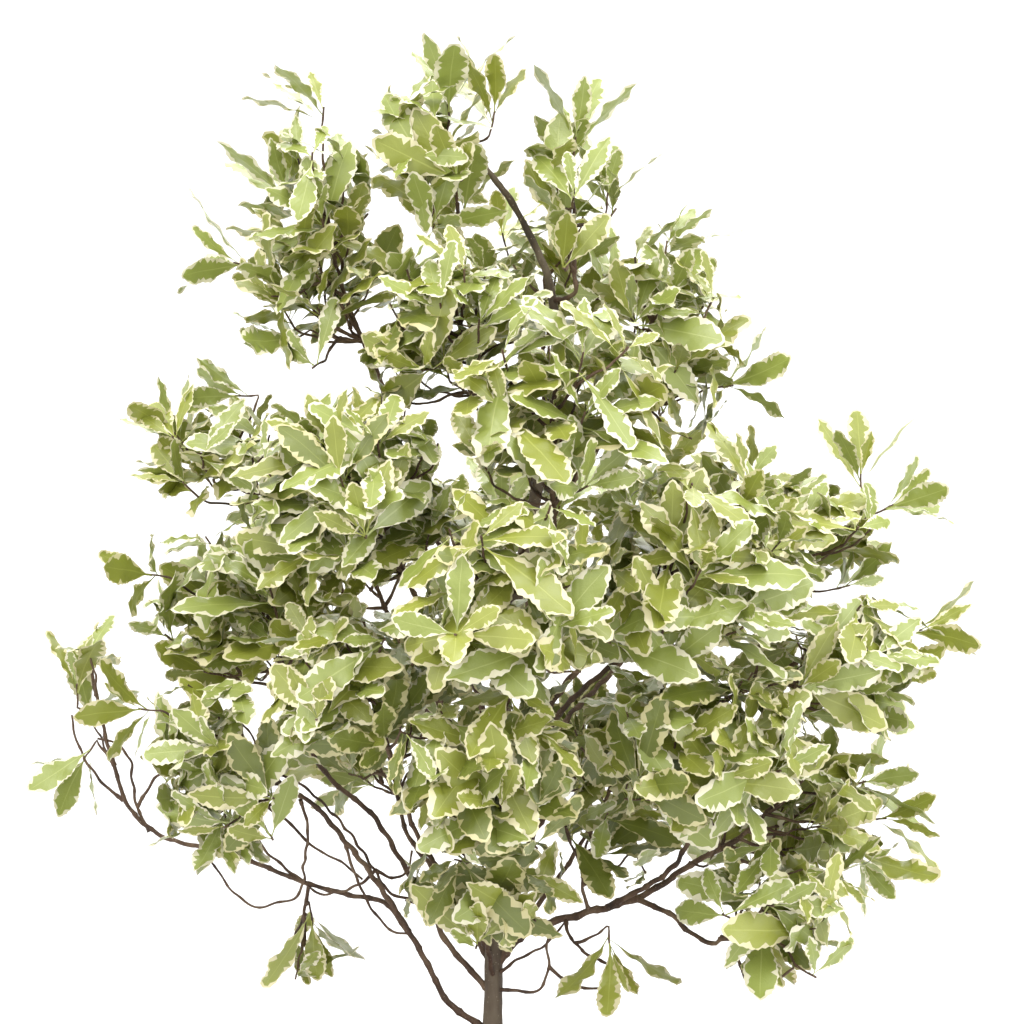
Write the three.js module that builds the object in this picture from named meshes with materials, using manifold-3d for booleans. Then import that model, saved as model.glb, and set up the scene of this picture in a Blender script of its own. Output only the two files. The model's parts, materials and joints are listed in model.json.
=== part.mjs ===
// A potted variegated pittosporum: one short trunk in a plain clay pot, slim bare boughs that leave it
// low down, and an open, pointed crown of toothed leaves with cream edges.
// Millimetres, +Z up. The origin is the centre of the pot's flat underside, and -Y is the front.

import * as THREE from "three";
import { mergeVertices } from "three/addons/utils/BufferGeometryUtils.js";
import Module from "manifold-3d";

const wasm = await Module();
wasm.setup();

// Driving dimensions
const POT = {
  height: 180,
  rimRadius: 112,
  footRadius: 77,
  wall: 8,
  floor: 10,
  rimBand: 38,
  rimStep: 5,
  edge: 2.5,
  bandEdge: 1.5,
  bandSlant: 1,
  innerEdge: 4,
  sides: 30,
};
const SOIL = { top: 155, clear: 0.4, dome: 5, flat: 25, skirt: 4, shoulder: 0.75, footEdge: 4.5, sides: 24 };
const DRAIN = { count: 3, radius: 6, ring: 34, firstTurn: Math.PI / 6, length: 30, sides: 10 };
// Air left where two pieces meet, and the distance under which two corners count as one
const GAP = 0.3;
const SAME_CORNER = 1e-4;
const TRUNK = {
  path: [
    [0, 0, SOIL.top + SOIL.dome + GAP],
    [-1, -1, 216],
    [1, 0, 282],
    [5, 4, 365],
    [9, 9, 455],
    [26, 13, 550],
    [37, 11, 620],
    [34, 5, 672],
    [14, -3, 717],
    [-4, -8, 742],
  ],
  footRadius: 10.5,
  radius: 6.7,
  tipRadius: 1.5,
  taper: 0.9,
  flareHeight: 22,
  sides: 9,
  steps: 20,
};
const BOUGH = { sides: 5, stepLength: 28, tipShare: 0.6 };
const STEM = { tipRadius: 1.4, thinnest: 1.6, sides: 4, steps: 3, rise: 0.3, lead: 0.6 };
const TWIG = { rootRadius: 0.5, radius: 1.2, tipRadius: 1, sides: 3, steps: 1, leafy: 14, sag: 0.18 };
const LEAF = { length: 66, width: 30, widest: 0.58, keel: 0.8, crown: 0.6, rootShare: 0.16 };

// A shoot: how far out of the middle of its mass it ends, the room it leaves for a leaf there and in the
// lower half, where on the stem it starts, how far its tip keeps its own way, turns out and is lifted, and
// the sharpest turn it takes, as the dot product of its two directions. Where its fork is too sharp it
// starts lower, up to forks times.
const SHOOT = {
  nearest: 0.45,
  spread: 0.45,
  chance: 0.1,
  leafRoom: 0.68,
  lowRoom: 0.2,
  leastRoom: 4,
  lowest: 0.12,
  rootSpread: 0.8,
  ownWay: 0.5,
  outOfMass: 0.35,
  outOfCrown: 0.45,
  lift: 1,
  sharpest: -0.3,
  forks: 9,
  forkStep: 0.05,
  forkTurn: 0.75,
};

// A leader: a long shoot that may stand out of its mass, how far it sags, and the size of its leaves
const LEADER = { sag: 0.12, leafShare: 0.76 };
// The leaves of a shoot: the most tried, the most and the fewest kept, how far the first is from the tip
// and the next below it, how wide they open, how their sizes vary, and the reach under which a mass has
// smaller leaves
const LEAVES = {
  tried: 16,
  most: 4,
  fewest: 3,
  rounds: 6,
  first: 3,
  pitch: 2.8,
  open: 0.55,
  openStep: 0.08,
  openChance: 0.2,
  smallest: 0.85,
  sizeChance: 0.2,
  roomy: 74,
};
// Air kept between neighbouring masses, and round limbs
const SPACE_GAP = 1.2;
const LIMB_GAP = 0.8;
// Limbs are checked at spots this far apart; the first few of a twig lie in its stem
const SPOT_STEP = 2.5;
const ROOT_SPOTS = 3;
const FUSE_TOLERANCE = 0.005;
const LINE_TENSION = 0.5;
const CROWN_MIDDLE = [0, 0, 460];
// Where a bough gives way to the stem of its mass, as a share of the reach, and the share beyond which a
// via point still counts
const ENTRY_DEPTH = 0.72;
const VIA_DEPTH = 0.82;
const GOLDEN_ANGLE = Math.PI * (3 - Math.sqrt(5));
// A direction steeper than this, as the height of its unit arrow, is measured from +X instead of +Z
const STEEP = { limb: 0.9, leaf: 0.95 };
// Steps of an even three-way sequence, so that any first few of its points spread over the whole space
const EVEN_STEPS = [0.8191725134, 0.6710436067, 0.5497004779];

// The foliage. at is the middle of a mass and reach its half sizes. Its bough leaves the parent limb at
// the share from of the parent's length, passes through the via points and ends inside the mass. A
// direct mass has no bough: its stem starts on the side of the parent. lift is how far shoot tips turn up,
// below 0 down. leaders are long shoots with a place and a direction for the tip of each.
const MASSES = [
  {
    name: "crown_top", at: [-33, -18, 736], reach: [57, 64, 67], shoots: 4,
    parent: "trunk", from: 1,
    lift: 1.4, leaders: [
      { from: 0.9, to: [-26, -18, 767], aim: [0, 0, 10] },
      { from: 0.8, to: [-2, -18, 760], aim: [2, 0, 10] },
    ],
  },
  {
    name: "top_right", at: [47, -6, 726], reach: [49, 58, 63], shoots: 3,
    parent: "trunk", from: 0.76, via: [[48, -2, 668]], thick: 1.8,
    lift: 1.3, leaders: [
      { from: 0.8, to: [47, -6, 747], aim: [1, 0, 10] },
      { from: 0.6, to: [66, -6, 713], aim: [1, 0, 10] },
    ],
  },
  {
    name: "upper_left", at: [-101, -6, 697], reach: [63, 62, 94], shoots: 5,
    parent: "trunk", from: 0.42, via: [[-57, -6, 573], [-66, -14, 615], [-75, -14, 640]], thick: 2.6,
    lift: 1.2, leaders: [
      { from: 0.8, to: [-101, -6, 763], aim: [1, 0, 10] },
      { from: 0.05, to: [-139, -6, 684], aim: [-10, 0, 2] },
      { from: 0.3, to: [-116, -6, 713], aim: [-3, 0, 7] },
      { from: 0, to: [-108, -6, 647], aim: [-8, 0, -4] },
    ],
  },
  {
    name: "upper_right", at: [101, 8, 647], reach: [65, 72, 85], shoots: 4,
    parent: "trunk", from: 0.52, via: [[62, 12, 574]], thick: 2.2,
    leaders: [
      { from: 0.8, to: [102, 8, 685], aim: [1, 0, 10] },
      { from: 0.2, to: [129, 8, 612], aim: [10, 0, 1] },
    ],
  },
  {
    name: "upper_heart", at: [-23, -60, 646], reach: [64, 70, 72], shoots: 4,
    parent: "trunk", from: 0.58, via: [[8, -22, 596]], thick: 1.9,
  },
  {
    name: "left_arm", at: [-170, 14, 570], reach: [61, 62, 52], shoots: 4,
    parent: "trunk", from: 0.3, via: [[-40, 12, 412], [-86, 18, 478], [-114, 18, 526]], thick: 2.2,
    leaders: [
      { from: 0.8, to: [-184, 14, 573], aim: [-6, 0, 8] },
      { from: 0.75, to: [-141, 14, 607], aim: [-10, 0, 0] },
    ],
  },
  {
    name: "left_shoulder", at: [-142, -16, 481], reach: [77, 80, 70], shoots: 4,
    parent: "trunk", from: 0.155,
    via: [
      [-28, 4, 271], [-38, 6, 291], [-55, 8, 319], [-74, 6, 351], [-96, 0, 372], [-110, -6, 393],
    ],
    thick: 2.3,
    leaders: [
      { from: 0.7, to: [-193, -16, 501], aim: [-10, 0, 1] },
    ],
  },
  {
    name: "left_low", at: [-154, -60, 404], reach: [56, 72, 70], shoots: 4,
    parent: "trunk", from: 0.112,
    via: [
      [-27, -4, 236], [-39, -10, 260], [-51, -18, 285], [-72, -32, 323], [-87, -42, 346], [-104, -52, 370],
    ],
    thick: 2.6,
    lift: 0.2, leaders: [
      { from: 0.5, to: [-156, -60, 380], aim: [0, -1, -10] },
      { from: 0.8, to: [-191, -60, 428], aim: [-10, 0, 1] },
    ],
  },
  {
    name: "far_left", at: [-245, 10, 422], reach: [42, 56, 63], shoots: 3,
    parent: "left_low_bough", from: 0.42,
    via: [
      [-66, -14, 302], [-87, -8, 305], [-116, 0, 311], [-155, 6, 325], [-179, 10, 330], [-205, 10, 338],
      [-224, 10, 356], [-240, 10, 371],
    ],
    thick: 1.9,
    lift: 0.8, leaders: [
      { from: 0.7, to: [-254, 10, 417], aim: [0, 0, 10] },
      { from: 0.2, to: [-242, 10, 397], aim: [-6, 0, -8] },
    ],
  },
  {
    name: "left_hanging", at: [-115, -6, 284], reach: [39, 48, 39], shoots: 2,
    parent: "far_left_bough", from: 0.36, direct: true,
    lift: -0.9, leaders: [
      { from: 0.5, to: [-112, -6, 300], aim: [1, 0, -10] },
    ],
  },
  {
    name: "front_left", at: [-70, -112, 556], reach: [80, 78, 74], shoots: 5,
    parent: "trunk", from: 0.34, via: [[-12, -36, 442], [-38, -74, 486]], thick: 2.3,
    leaders: [
      { from: 0.8, to: [-33, -118, 575], aim: [2, -3, 8] },
    ],
  },
  {
    name: "front_top", at: [35, -116, 601], reach: [82, 76, 77], shoots: 5,
    parent: "trunk", from: 0.4, via: [[20, -40, 486], [34, -82, 534]], thick: 2.3,
  },
  {
    name: "front_heart", at: [5, -164, 513], reach: [77, 72, 69], shoots: 4,
    parent: "trunk", from: 0.25, via: [[4, -50, 386], [2, -108, 428]], thick: 2.3,
  },
  {
    name: "front_right", at: [108, -104, 514], reach: [83, 78, 78], shoots: 5,
    parent: "trunk", from: 0.31, via: [[38, -34, 420], [74, -72, 462]], thick: 2.3,
  },
  {
    name: "low_left_heart", at: [-71, -110, 455], reach: [72, 74, 66], shoots: 4,
    parent: "trunk", from: 0.19, via: [[-22, -30, 312], [-44, -66, 356]], thick: 2.2,
  },
  {
    name: "front_low", at: [-4, -132, 417], reach: [70, 76, 65], shoots: 5,
    parent: "trunk", from: 0.21, via: [[10, -42, 334], [10, -88, 368]], thick: 2.2,
  },
  {
    name: "front_foot", at: [-2, -70, 334], reach: [61, 66, 48], shoots: 3,
    parent: "trunk", from: 0.17, via: [[-4, -26, 282]], thick: 1.9,
    lift: 0.3,
  },
  {
    name: "right_arm", at: [184, 0, 516], reach: [74, 70, 55], shoots: 4,
    parent: "trunk", from: 0.33, via: [[46, 4, 436], [106, 4, 484], [144, 2, 510]], thick: 2.4,
    leaders: [
      { from: 0.6, to: [220, 0, 546], aim: [0, 0, 10] },
      { from: 0.7, to: [227, 0, 536], aim: [10, 0, 5] },
      { from: 0.4, to: [200, 0, 490], aim: [8, 0, 2] },
    ],
  },
  {
    name: "right_shoulder", at: [200, -28, 456], reach: [77, 74, 56], shoots: 4,
    parent: "trunk", from: 0.24, via: [[42, -12, 372], [96, -22, 408], [140, -28, 430]], thick: 2.4,
    lift: 0.8, leaders: [
      { from: 0.7, to: [239, -28, 468], aim: [10, 0, 2] },
      { from: 0.1, to: [205, -28, 422], aim: [10, 0, -1] },
    ],
  },
  {
    name: "right_low", at: [111, -100, 422], reach: [81, 74, 72], shoots: 4,
    parent: "right_low_arm_bough", from: 0.5, via: [[103, -42, 328], [115, -62, 356]], thick: 2.1,
  },
  {
    name: "right_low_arm", at: [180, -12, 357], reach: [72, 68, 69], shoots: 4,
    parent: "trunk", from: 0.185,
    via: [[20, -4, 281], [50, -10, 293], [88, -16, 306], [120, -20, 328], [142, -20, 342]], thick: 3.3,
    lift: 0.5, leaders: [
      { from: 0.7, to: [222, -12, 352], aim: [10, 0, 1] },
      { from: 0.6, to: [213, -12, 339], aim: [6, 0, -8] },
      { from: 0.9, to: [210, -12, 372], aim: [10, 0, 3] },
    ],
  },
  {
    name: "right_hanging", at: [163, -62, 318], reach: [64, 62, 51], shoots: 3,
    parent: "right_low_arm_bough", from: 0.58,
    via: [[106, -34, 300], [117, -42, 291], [130, -50, 287]], thick: 2.1,
    lift: 0.1, leaders: [
      { from: 0.6, to: [159, -62, 313], aim: [-1, -1, -10] },
    ],
  },
  {
    name: "low_right_heart", at: [63, -30, 346], reach: [55, 60, 47], shoots: 3,
    parent: "right_low_arm_bough", from: 0.44, direct: true,
    leaders: [
      { from: 0.45, to: [84, -30, 338], aim: [3, -1, -6] },
    ],
  },
  {
    name: "right_foot", at: [67, -40, 285], reach: [38, 48, 43], shoots: 2,
    parent: "right_low_arm_bough", from: 0.36, direct: true,
    lift: -0.8, leaders: [
      { from: 0.6, to: [68, -40, 295], aim: [1, 0, -10] },
    ],
  },
  {
    name: "back_top", at: [32, 80, 662], reach: [77, 76, 83], shoots: 3,
    parent: "trunk", from: 0.52, via: [[30, 44, 584]], thick: 2.2,
  },
  {
    name: "back_left", at: [-97, 108, 521], reach: [93, 84, 93], shoots: 4,
    parent: "trunk", from: 0.27, via: [[-24, 38, 394], [-58, 72, 444]], thick: 2.4,
  },
  {
    name: "back_right", at: [126, 108, 505], reach: [96, 84, 93], shoots: 4,
    parent: "trunk", from: 0.28, via: [[38, 40, 394], [78, 72, 432]], thick: 2.4,
  },
  {
    name: "back_heart", at: [11, 158, 489], reach: [89, 78, 96], shoots: 4,
    parent: "trunk", from: 0.3, via: [[6, 58, 414], [6, 104, 442]], thick: 2.4,
  },
  {
    name: "back_low_left", at: [-78, 100, 389], reach: [83, 80, 77], shoots: 3,
    parent: "trunk", from: 0.18, via: [[-24, 32, 292], [-54, 66, 322]], thick: 2.3,
  },
  {
    name: "back_low_right", at: [87, 96, 360], reach: [89, 80, 76], shoots: 3,
    parent: "trunk", from: 0.2, via: [[34, 34, 296], [60, 64, 312]], thick: 2.3,
  },
];

// The crown's outline: how far it reaches at each height to the left and the right, and half its depth.
// Its rounds are a little square, by the power that each share is raised to.
const OUTLINE = [
  { z: 824, left: -31, right: -8, deep: 40 },
  { z: 804, left: -84, right: 4, deep: 80 },
  { z: 785, left: -119, right: 57, deep: 100 },
  { z: 759, left: -139, right: 70, deep: 115 },
  { z: 724, left: -157, right: 96, deep: 130 },
  { z: 694, left: -177, right: 139, deep: 145 },
  { z: 647, left: -151, right: 150, deep: 160 },
  { z: 605, left: -217, right: 165, deep: 175 },
  { z: 581, left: -225, right: 231, deep: 190 },
  { z: 545, left: -212, right: 259, deep: 205 },
  { z: 491, left: -237, right: 286, deep: 225 },
  { z: 460, left: -262, right: 296, deep: 225 },
  { z: 424, left: -262, right: 267, deep: 225 },
  { z: 374, left: -271, right: 262, deep: 220 },
  { z: 337, left: -228, right: 275, deep: 200 },
  { z: 300, left: -176, right: 251, deep: 170 },
  { z: 269, left: -137, right: 218, deep: 140 },
  { z: 237, left: -125, right: 181, deep: 100 },
];
const OUTLINE_POWER = 2.6;

const COLOURS = {
  clay: { color: 0xb8704c, roughness: 0.9 },
  soil: { color: 0x3d2c20, roughness: 1 },
  bark: { color: 0x4b3f38, roughness: 0.85 },
  foliage: { color: 0xa2b274, roughness: 0.55 },
};

const vec = (p) => new THREE.Vector3(...p);

// A stream of numbers from 0 to 1 that is always the same for the same text
function makeRandom(text) {
  let state = 2166136261;
  for (const letter of text) state = Math.imul(state ^ letter.charCodeAt(0), 16777619) >>> 0;
  return () => {
    state = (state + 0x6d2b79f5) >>> 0;
    let mixed = Math.imul(state ^ (state >>> 15), state | 1);
    mixed ^= mixed + Math.imul(mixed ^ (mixed >>> 7), mixed | 61);
    return ((mixed ^ (mixed >>> 14)) >>> 0) / 4294967296;
  };
}

// Solids and geometries
function toSolid(geometry) {
  const bare = geometry.index ? geometry.toNonIndexed() : geometry.clone();
  bare.deleteAttribute("normal");
  bare.deleteAttribute("uv");
  const merged = mergeVertices(bare, SAME_CORNER);
  return new wasm.Manifold(
    new wasm.Mesh({
      numProp: 3,
      vertProperties: merged.attributes.position.array,
      triVerts: new Uint32Array(merged.index.array),
    }),
  );
}

function toGeometry(solid) {
  const mesh = solid.getMesh();
  const geometry = new THREE.BufferGeometry();
  geometry.setAttribute("position", new THREE.BufferAttribute(mesh.vertProperties, 3));
  geometry.setIndex(new THREE.BufferAttribute(mesh.triVerts, 1));
  geometry.computeVertexNormals();
  return geometry;
}

// The largest closed body of a fused solid, without sealed hollows or loose scraps
function largestBody(solid) {
  const bodies = solid.decompose().sort((a, b) => b.volume() - a.volume());
  return bodies[0];
}

// A closed tapering limb: rings of points round a line, with a flat cap at each end. The first ring of a
// level limb lies flat, whatever way its line sets off.
function limbGeometry({ line, radii, sides, level }) {
  const positions = [];
  const faces = [];
  let across = null;
  line.forEach((point, i) => {
    const before = line[Math.max(i - 1, 0)];
    const after = line[Math.min(i + 1, line.length - 1)];
    const along = level && i === 0 ? vec([0, 0, 1]) : after.clone().sub(before).normalize();
    if (!across) {
      const helper = Math.abs(along.z) < STEEP.limb ? vec([0, 0, 1]) : vec([1, 0, 0]);
      across = helper.cross(along).normalize();
    }
    across.addScaledVector(along, -across.dot(along)).normalize();
    const up = along.clone().cross(across);
    for (let k = 0; k < sides; k++) {
      const angle = (2 * Math.PI * k) / sides;
      const spot = point.clone();
      spot.addScaledVector(across, radii[i] * Math.cos(angle));
      spot.addScaledVector(up, radii[i] * Math.sin(angle));
      positions.push(spot.x, spot.y, spot.z);
    }
  });
  const last = (line.length - 1) * sides;
  for (let i = 0; i < line.length - 1; i++) {
    for (let k = 0; k < sides; k++) {
      const a = i * sides + k;
      const b = i * sides + ((k + 1) % sides);
      faces.push(a, b, a + sides, b, b + sides, a + sides);
    }
  }
  for (let k = 1; k < sides - 1; k++) {
    faces.push(0, k + 1, k, last, last + k, last + k + 1);
  }
  const geometry = new THREE.BufferGeometry();
  geometry.setAttribute("position", new THREE.Float32BufferAttribute(positions, 3));
  geometry.setIndex(faces);
  return geometry;
}

const limbSolid = (limb) => toSolid(limbGeometry(limb));

// A leaf of eight faces, from its root along +Y, with its upper side towards +Z
function leafSolid() {
  const half = LEAF.width / 2;
  const mid = LEAF.length * LEAF.widest;
  const corners = [
    [0, 0, LEAF.keel / 2], // root, upper
    [0, 0, -LEAF.keel / 2], // root, lower
    [-half, mid, 0], // left
    [half, mid, 0], // right
    [0, mid, LEAF.crown], // top of the midrib
    [0, LEAF.length, 0], // tip
  ];
  const faces = [0, 4, 2, 0, 3, 4, 4, 5, 2, 4, 3, 5, 1, 2, 5, 1, 5, 3, 0, 2, 1, 0, 1, 3];
  const geometry = new THREE.BufferGeometry();
  geometry.setAttribute("position", new THREE.Float32BufferAttribute(corners.flat(), 3));
  geometry.setIndex(faces);
  return toSolid(geometry);
}

const LEAF_SOLID = leafSolid();
// The leaf past its root: the part that may not cross another leaf
const BLADE_SOLID = LEAF_SOLID.trimByPlane([0, 1, 0], LEAF.length * LEAF.rootShare);

// Lines
function smoothLine(points, steps) {
  const curve = new THREE.CatmullRomCurve3(points.map(vec), false, "catmullrom", LINE_TENSION);
  return Array.from({ length: steps + 1 }, (_, i) => curve.getPoint(i / steps));
}

function arcLine(start, middle, end, steps) {
  const curve = new THREE.QuadraticBezierCurve3(start, middle, end);
  return Array.from({ length: steps + 1 }, (_, i) => curve.getPoint(i / steps));
}

function tapered(from, to, count) {
  return Array.from({ length: count }, (_, i) => from + ((to - from) * i) / (count - 1));
}

// Every limb, with its line and radii: what foliage keeps clear of and side limbs start from
const limbs = new Map();

function addTrunk() {
  const line = smoothLine(TRUNK.path, TRUNK.steps);
  const foot = line[0].z;
  const radii = line.map((point, i) => {
    const share = i / TRUNK.steps;
    const plain = TRUNK.radius + (TRUNK.tipRadius - TRUNK.radius) * share ** TRUNK.taper;
    const flare = (TRUNK.footRadius - TRUNK.radius) * Math.exp(-(point.z - foot) / TRUNK.flareHeight);
    return plain + flare;
  });
  limbs.set("trunk", { line, radii, sides: TRUNK.sides, level: true });
}

function pointAlong(limb, share) {
  const exact = share * (limb.line.length - 1);
  const i = Math.min(Math.floor(exact), limb.line.length - 2);
  return limb.line[i].clone().lerp(limb.line[i + 1], exact - i);
}

// How far a point is from the middle of a mass, as a share of its reach
function depthIn(mass, point) {
  return point.clone().sub(vec(mass.at)).divide(vec(mass.reach)).length();
}

// The place on the way from a point to the middle of a mass where a bough gives way to the stem
function entryOf(mass, outside) {
  const depth = depthIn(mass, outside);
  return vec(mass.at).lerp(outside, Math.min(1, ENTRY_DEPTH / depth));
}

function addBough(mass) {
  const parent = limbs.get(mass.parent);
  if (mass.from === 1) {
    const end = parent.line.at(-1);
    mass.start = end.clone();
    mass.heading = end.clone().sub(parent.line.at(-2)).normalize();
    mass.stemRadius = parent.radii.at(-1);
    return;
  }
  const root = pointAlong(parent, mass.from);
  if (mass.direct) {
    const i = Math.floor(mass.from * (parent.line.length - 1));
    const along = parent.line[i + 1].clone().sub(parent.line[i]).normalize();
    const towards = vec(mass.at).sub(root);
    mass.heading = towards.addScaledVector(along, -towards.dot(along)).normalize();
    mass.start = root.addScaledVector(mass.heading, parent.radii[i]);
    mass.stemRadius = STEM.tipRadius;
    return;
  }
  const via = mass.via.filter((point) => depthIn(mass, vec(point)) > VIA_DEPTH);
  const entry = entryOf(mass, via.length ? vec(via.at(-1)) : root);
  const points = [root.toArray(), ...via, entry.toArray()];
  const length = points.slice(1).reduce((sum, p, i) => sum + vec(p).distanceTo(vec(points[i])), 0);
  const steps = Math.max(2, Math.round(length / BOUGH.stepLength));
  const line = smoothLine(points, steps);
  const tip = Math.max(STEM.thinnest, mass.thick * BOUGH.tipShare);
  limbs.set(`${mass.name}_bough`, {
    line,
    radii: tapered(mass.thick, tip, line.length),
    sides: BOUGH.sides,
    parent,
  });
  mass.start = line.at(-1).clone();
  mass.heading = line.at(-1).clone().sub(line.at(-2)).normalize();
  mass.stemRadius = tip;
}

// The stem of a mass: it carries on from the bough's tip and bends up through the middle
function stemOf(mass) {
  const start = mass.start.clone().addScaledVector(mass.heading, GAP);
  const middle = vec(mass.at);
  const crown = middle.clone().add(vec([0, 0, mass.reach[2] * STEM.rise * Math.sign(mass.lift)]));
  const first = start.clone().addScaledVector(mass.heading, start.distanceTo(middle) * STEM.lead);
  const line = arcLine(start, first, crown, STEM.steps);
  line.splice(1, 0, start.clone().addScaledVector(mass.heading, mass.stemRadius));
  return { line, radii: tapered(mass.stemRadius, STEM.tipRadius, line.length), sides: STEM.sides };
}

// Space
function insideOutline(point) {
  const low = OUTLINE.findIndex((row) => row.z <= point.z);
  if (low === 0) return false;
  const below = OUTLINE.at(low);
  const above = OUTLINE.at(Math.max(low - 1, -1));
  const share = above === below ? 0 : (point.z - below.z) / (above.z - below.z);
  const at = (side) => below[side] + (above[side] - below[side]) * share;
  const half = (at("right") - at("left")) / 2;
  const across = Math.abs(point.x - at("left") - half) / half;
  const away = Math.abs(point.y) / at("deep");
  return across ** OUTLINE_POWER + away ** OUTLINE_POWER <= 1;
}

function insideSpace(mass, point, leading = false) {
  if (!leading && (depthIn(mass, point) > 1 || !insideOutline(point))) return false;
  const power = (m) => point.distanceToSquared(vec(m.at)) - m.size ** 2;
  const own = power(mass);
  return MASSES.every((other) => {
    if (other === mass) return true;
    const apart = 2 * vec(other.at).distanceTo(vec(mass.at));
    return (power(other) - own) / apart > SPACE_GAP;
  });
}

function denseSpots(line, radii) {
  const spots = [];
  for (let i = 0; i < line.length - 1; i++) {
    const pieces = Math.max(1, Math.ceil(line[i].distanceTo(line[i + 1]) / SPOT_STEP));
    for (let k = 0; k <= pieces; k++) {
      const share = k / pieces;
      spots.push({
        at: line[i].clone().lerp(line[i + 1], share),
        radius: radii[i] + (radii[i + 1] - radii[i]) * share,
      });
    }
  }
  return spots;
}

const twigTouches = (spots, obstacles) =>
  spots.some((spot) =>
    obstacles.some((o) => spot.at.distanceTo(o.at) < spot.radius + o.radius + LIMB_GAP),
  );

// A leaf touches a limb where a spot of the limb lies inside the leaf's outline, grown by its radius
function leafTouches(frame, size, obstacles) {
  const back = frame.clone().invert();
  const length = LEAF.length * size;
  const widest = length * LEAF.widest;
  return obstacles.some((o) => {
    const room = o.radius + LIMB_GAP;
    const local = o.at.clone().applyMatrix4(back).multiplyScalar(size);
    if (Math.abs(local.z) > room + LEAF.keel) return false;
    if (local.y < -room || local.y > length + room) return false;
    const share = local.y < widest ? local.y / widest : (length - local.y) / (length - widest);
    return Math.abs(local.x) < (LEAF.width / 2) * size * Math.max(share, 0) + room;
  });
}

const LEAF_CORNERS = [
  [0, LEAF.length, 0],
  [-LEAF.width / 2, LEAF.length * LEAF.widest, 0],
  [LEAF.width / 2, LEAF.length * LEAF.widest, 0],
];

// The growing rule. Shoot k of a mass ends at an even spread of places in the mass's inner space, starts
// on the stem below that place, and turns up towards its tip. Its leaves wind round it by the golden
// angle, close together at the tip, and open out the further back they stand.
function shootPlace(mass, k, random) {
  const even = EVEN_STEPS.map((step) => (0.5 + step * (k + 1)) % 1);
  const height = 1 - 2 * even[0];
  const turn = 2 * Math.PI * even[1] + mass.turn;
  const out = SHOOT.nearest + SHOOT.spread * even[2] + SHOOT.chance * random();
  const flat = Math.sqrt(1 - height * height);
  const rooms = [SHOOT.leafRoom, SHOOT.leafRoom, height > 0 ? SHOOT.leafRoom : SHOOT.lowRoom];
  const length = LEAF.length * mass.leafSize;
  const inner = mass.reach.map((half, i) => Math.max(half - rooms[i] * length, SHOOT.leastRoom));
  return vec([flat * Math.cos(turn), flat * Math.sin(turn), height])
    .multiply(vec(inner))
    .multiplyScalar(out)
    .add(vec(mass.at));
}

// The place on a stem where a shoot to a tip leaves it at the most natural angle
function forkOf(stem, tip) {
  const places = Array.from({ length: SHOOT.forks }, (_, i) => {
    const share = SHOOT.lowest + (SHOOT.rootSpread * i) / (SHOOT.forks - 1);
    const root = pointAlong(stem, share);
    const along = pointAlong(stem, share + SHOOT.forkStep).sub(root).normalize();
    const turn = tip.clone().sub(root).normalize().dot(along);
    return { root, off: Math.abs(turn - SHOOT.forkTurn) };
  });
  return places.reduce((best, place) => (place.off < best.off ? place : best)).root;
}

// A shoot of a mass by the rule, before it is known whether it has room
function plainShoot(mass, stem, k) {
  const random = makeRandom(`${mass.name}-${k}`);
  const tip = shootPlace(mass, k, random);
  const root = forkOf(stem, tip);
  const onward = tip.clone().sub(root).normalize();
  const outward = tip.clone().sub(vec(mass.at)).normalize();
  const aim = onward
    .clone()
    .multiplyScalar(SHOOT.ownWay)
    .addScaledVector(outward, SHOOT.outOfMass)
    .addScaledVector(vec(mass.at).sub(vec(CROWN_MIDDLE)).normalize(), SHOOT.outOfCrown)
    .add(vec([0, 0, mass.lift]))
    .normalize();
  if (onward.dot(aim) < SHOOT.sharpest) return null;
  return { root, tip, aim, random, sag: TWIG.sag, leading: false, leafShare: 1 };
}

// A leader of a mass: a long shoot to a place of its own
function leadShoot(mass, stem, { from, to, aim }, number) {
  return {
    root: pointAlong(stem, from),
    tip: vec(to),
    aim: vec(aim).normalize(),
    random: makeRandom(`${mass.name}-leader-${number}`),
    sag: LEADER.sag,
    leading: true,
    leafShare: LEADER.leafShare,
  };
}

// A shoot with its line, or null if it has no room
function growShoot(mass, plan, limbSpots, leaves) {
  if (!plan) return null;
  const { root, tip, aim, sag, leading } = plan;
  const bend = root
    .clone()
    .lerp(tip, 0.5)
    .add(vec([0, 0, -sag * root.distanceTo(tip)]));
  const line = arcLine(root, bend, tip, TWIG.steps);
  line.push(tip.clone().addScaledVector(aim, TWIG.leafy));
  const radii = tapered(TWIG.radius, TWIG.tipRadius, line.length);
  radii[0] = TWIG.rootRadius;
  const spots = denseSpots(line, radii).slice(ROOT_SPOTS);
  if (!spots.every((spot) => insideSpace(mass, spot.at, leading))) return null;
  if (twigTouches(spots, limbSpots)) return null;
  if (leaves.some((leaf) => leafTouches(leaf.frame, leaf.size, spots))) return null;
  return { ...plan, line, radii, sides: TWIG.sides, spots };
}

function leafFrame(root, aim, turn, open, size) {
  const side = Math.abs(aim.z) < STEEP.leaf ? vec([0, 0, 1]).cross(aim) : vec([1, 0, 0]).cross(aim);
  side.normalize().applyAxisAngle(aim, turn);
  const along = aim.clone().multiplyScalar(Math.cos(open)).addScaledVector(side, Math.sin(open));
  const upper = aim.clone().addScaledVector(along, -aim.dot(along)).normalize();
  const across = along.clone().cross(upper).normalize();
  return new THREE.Matrix4()
    .makeBasis(across, along, upper)
    .scale(vec([size, size, size]))
    .setPosition(root);
}

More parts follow.
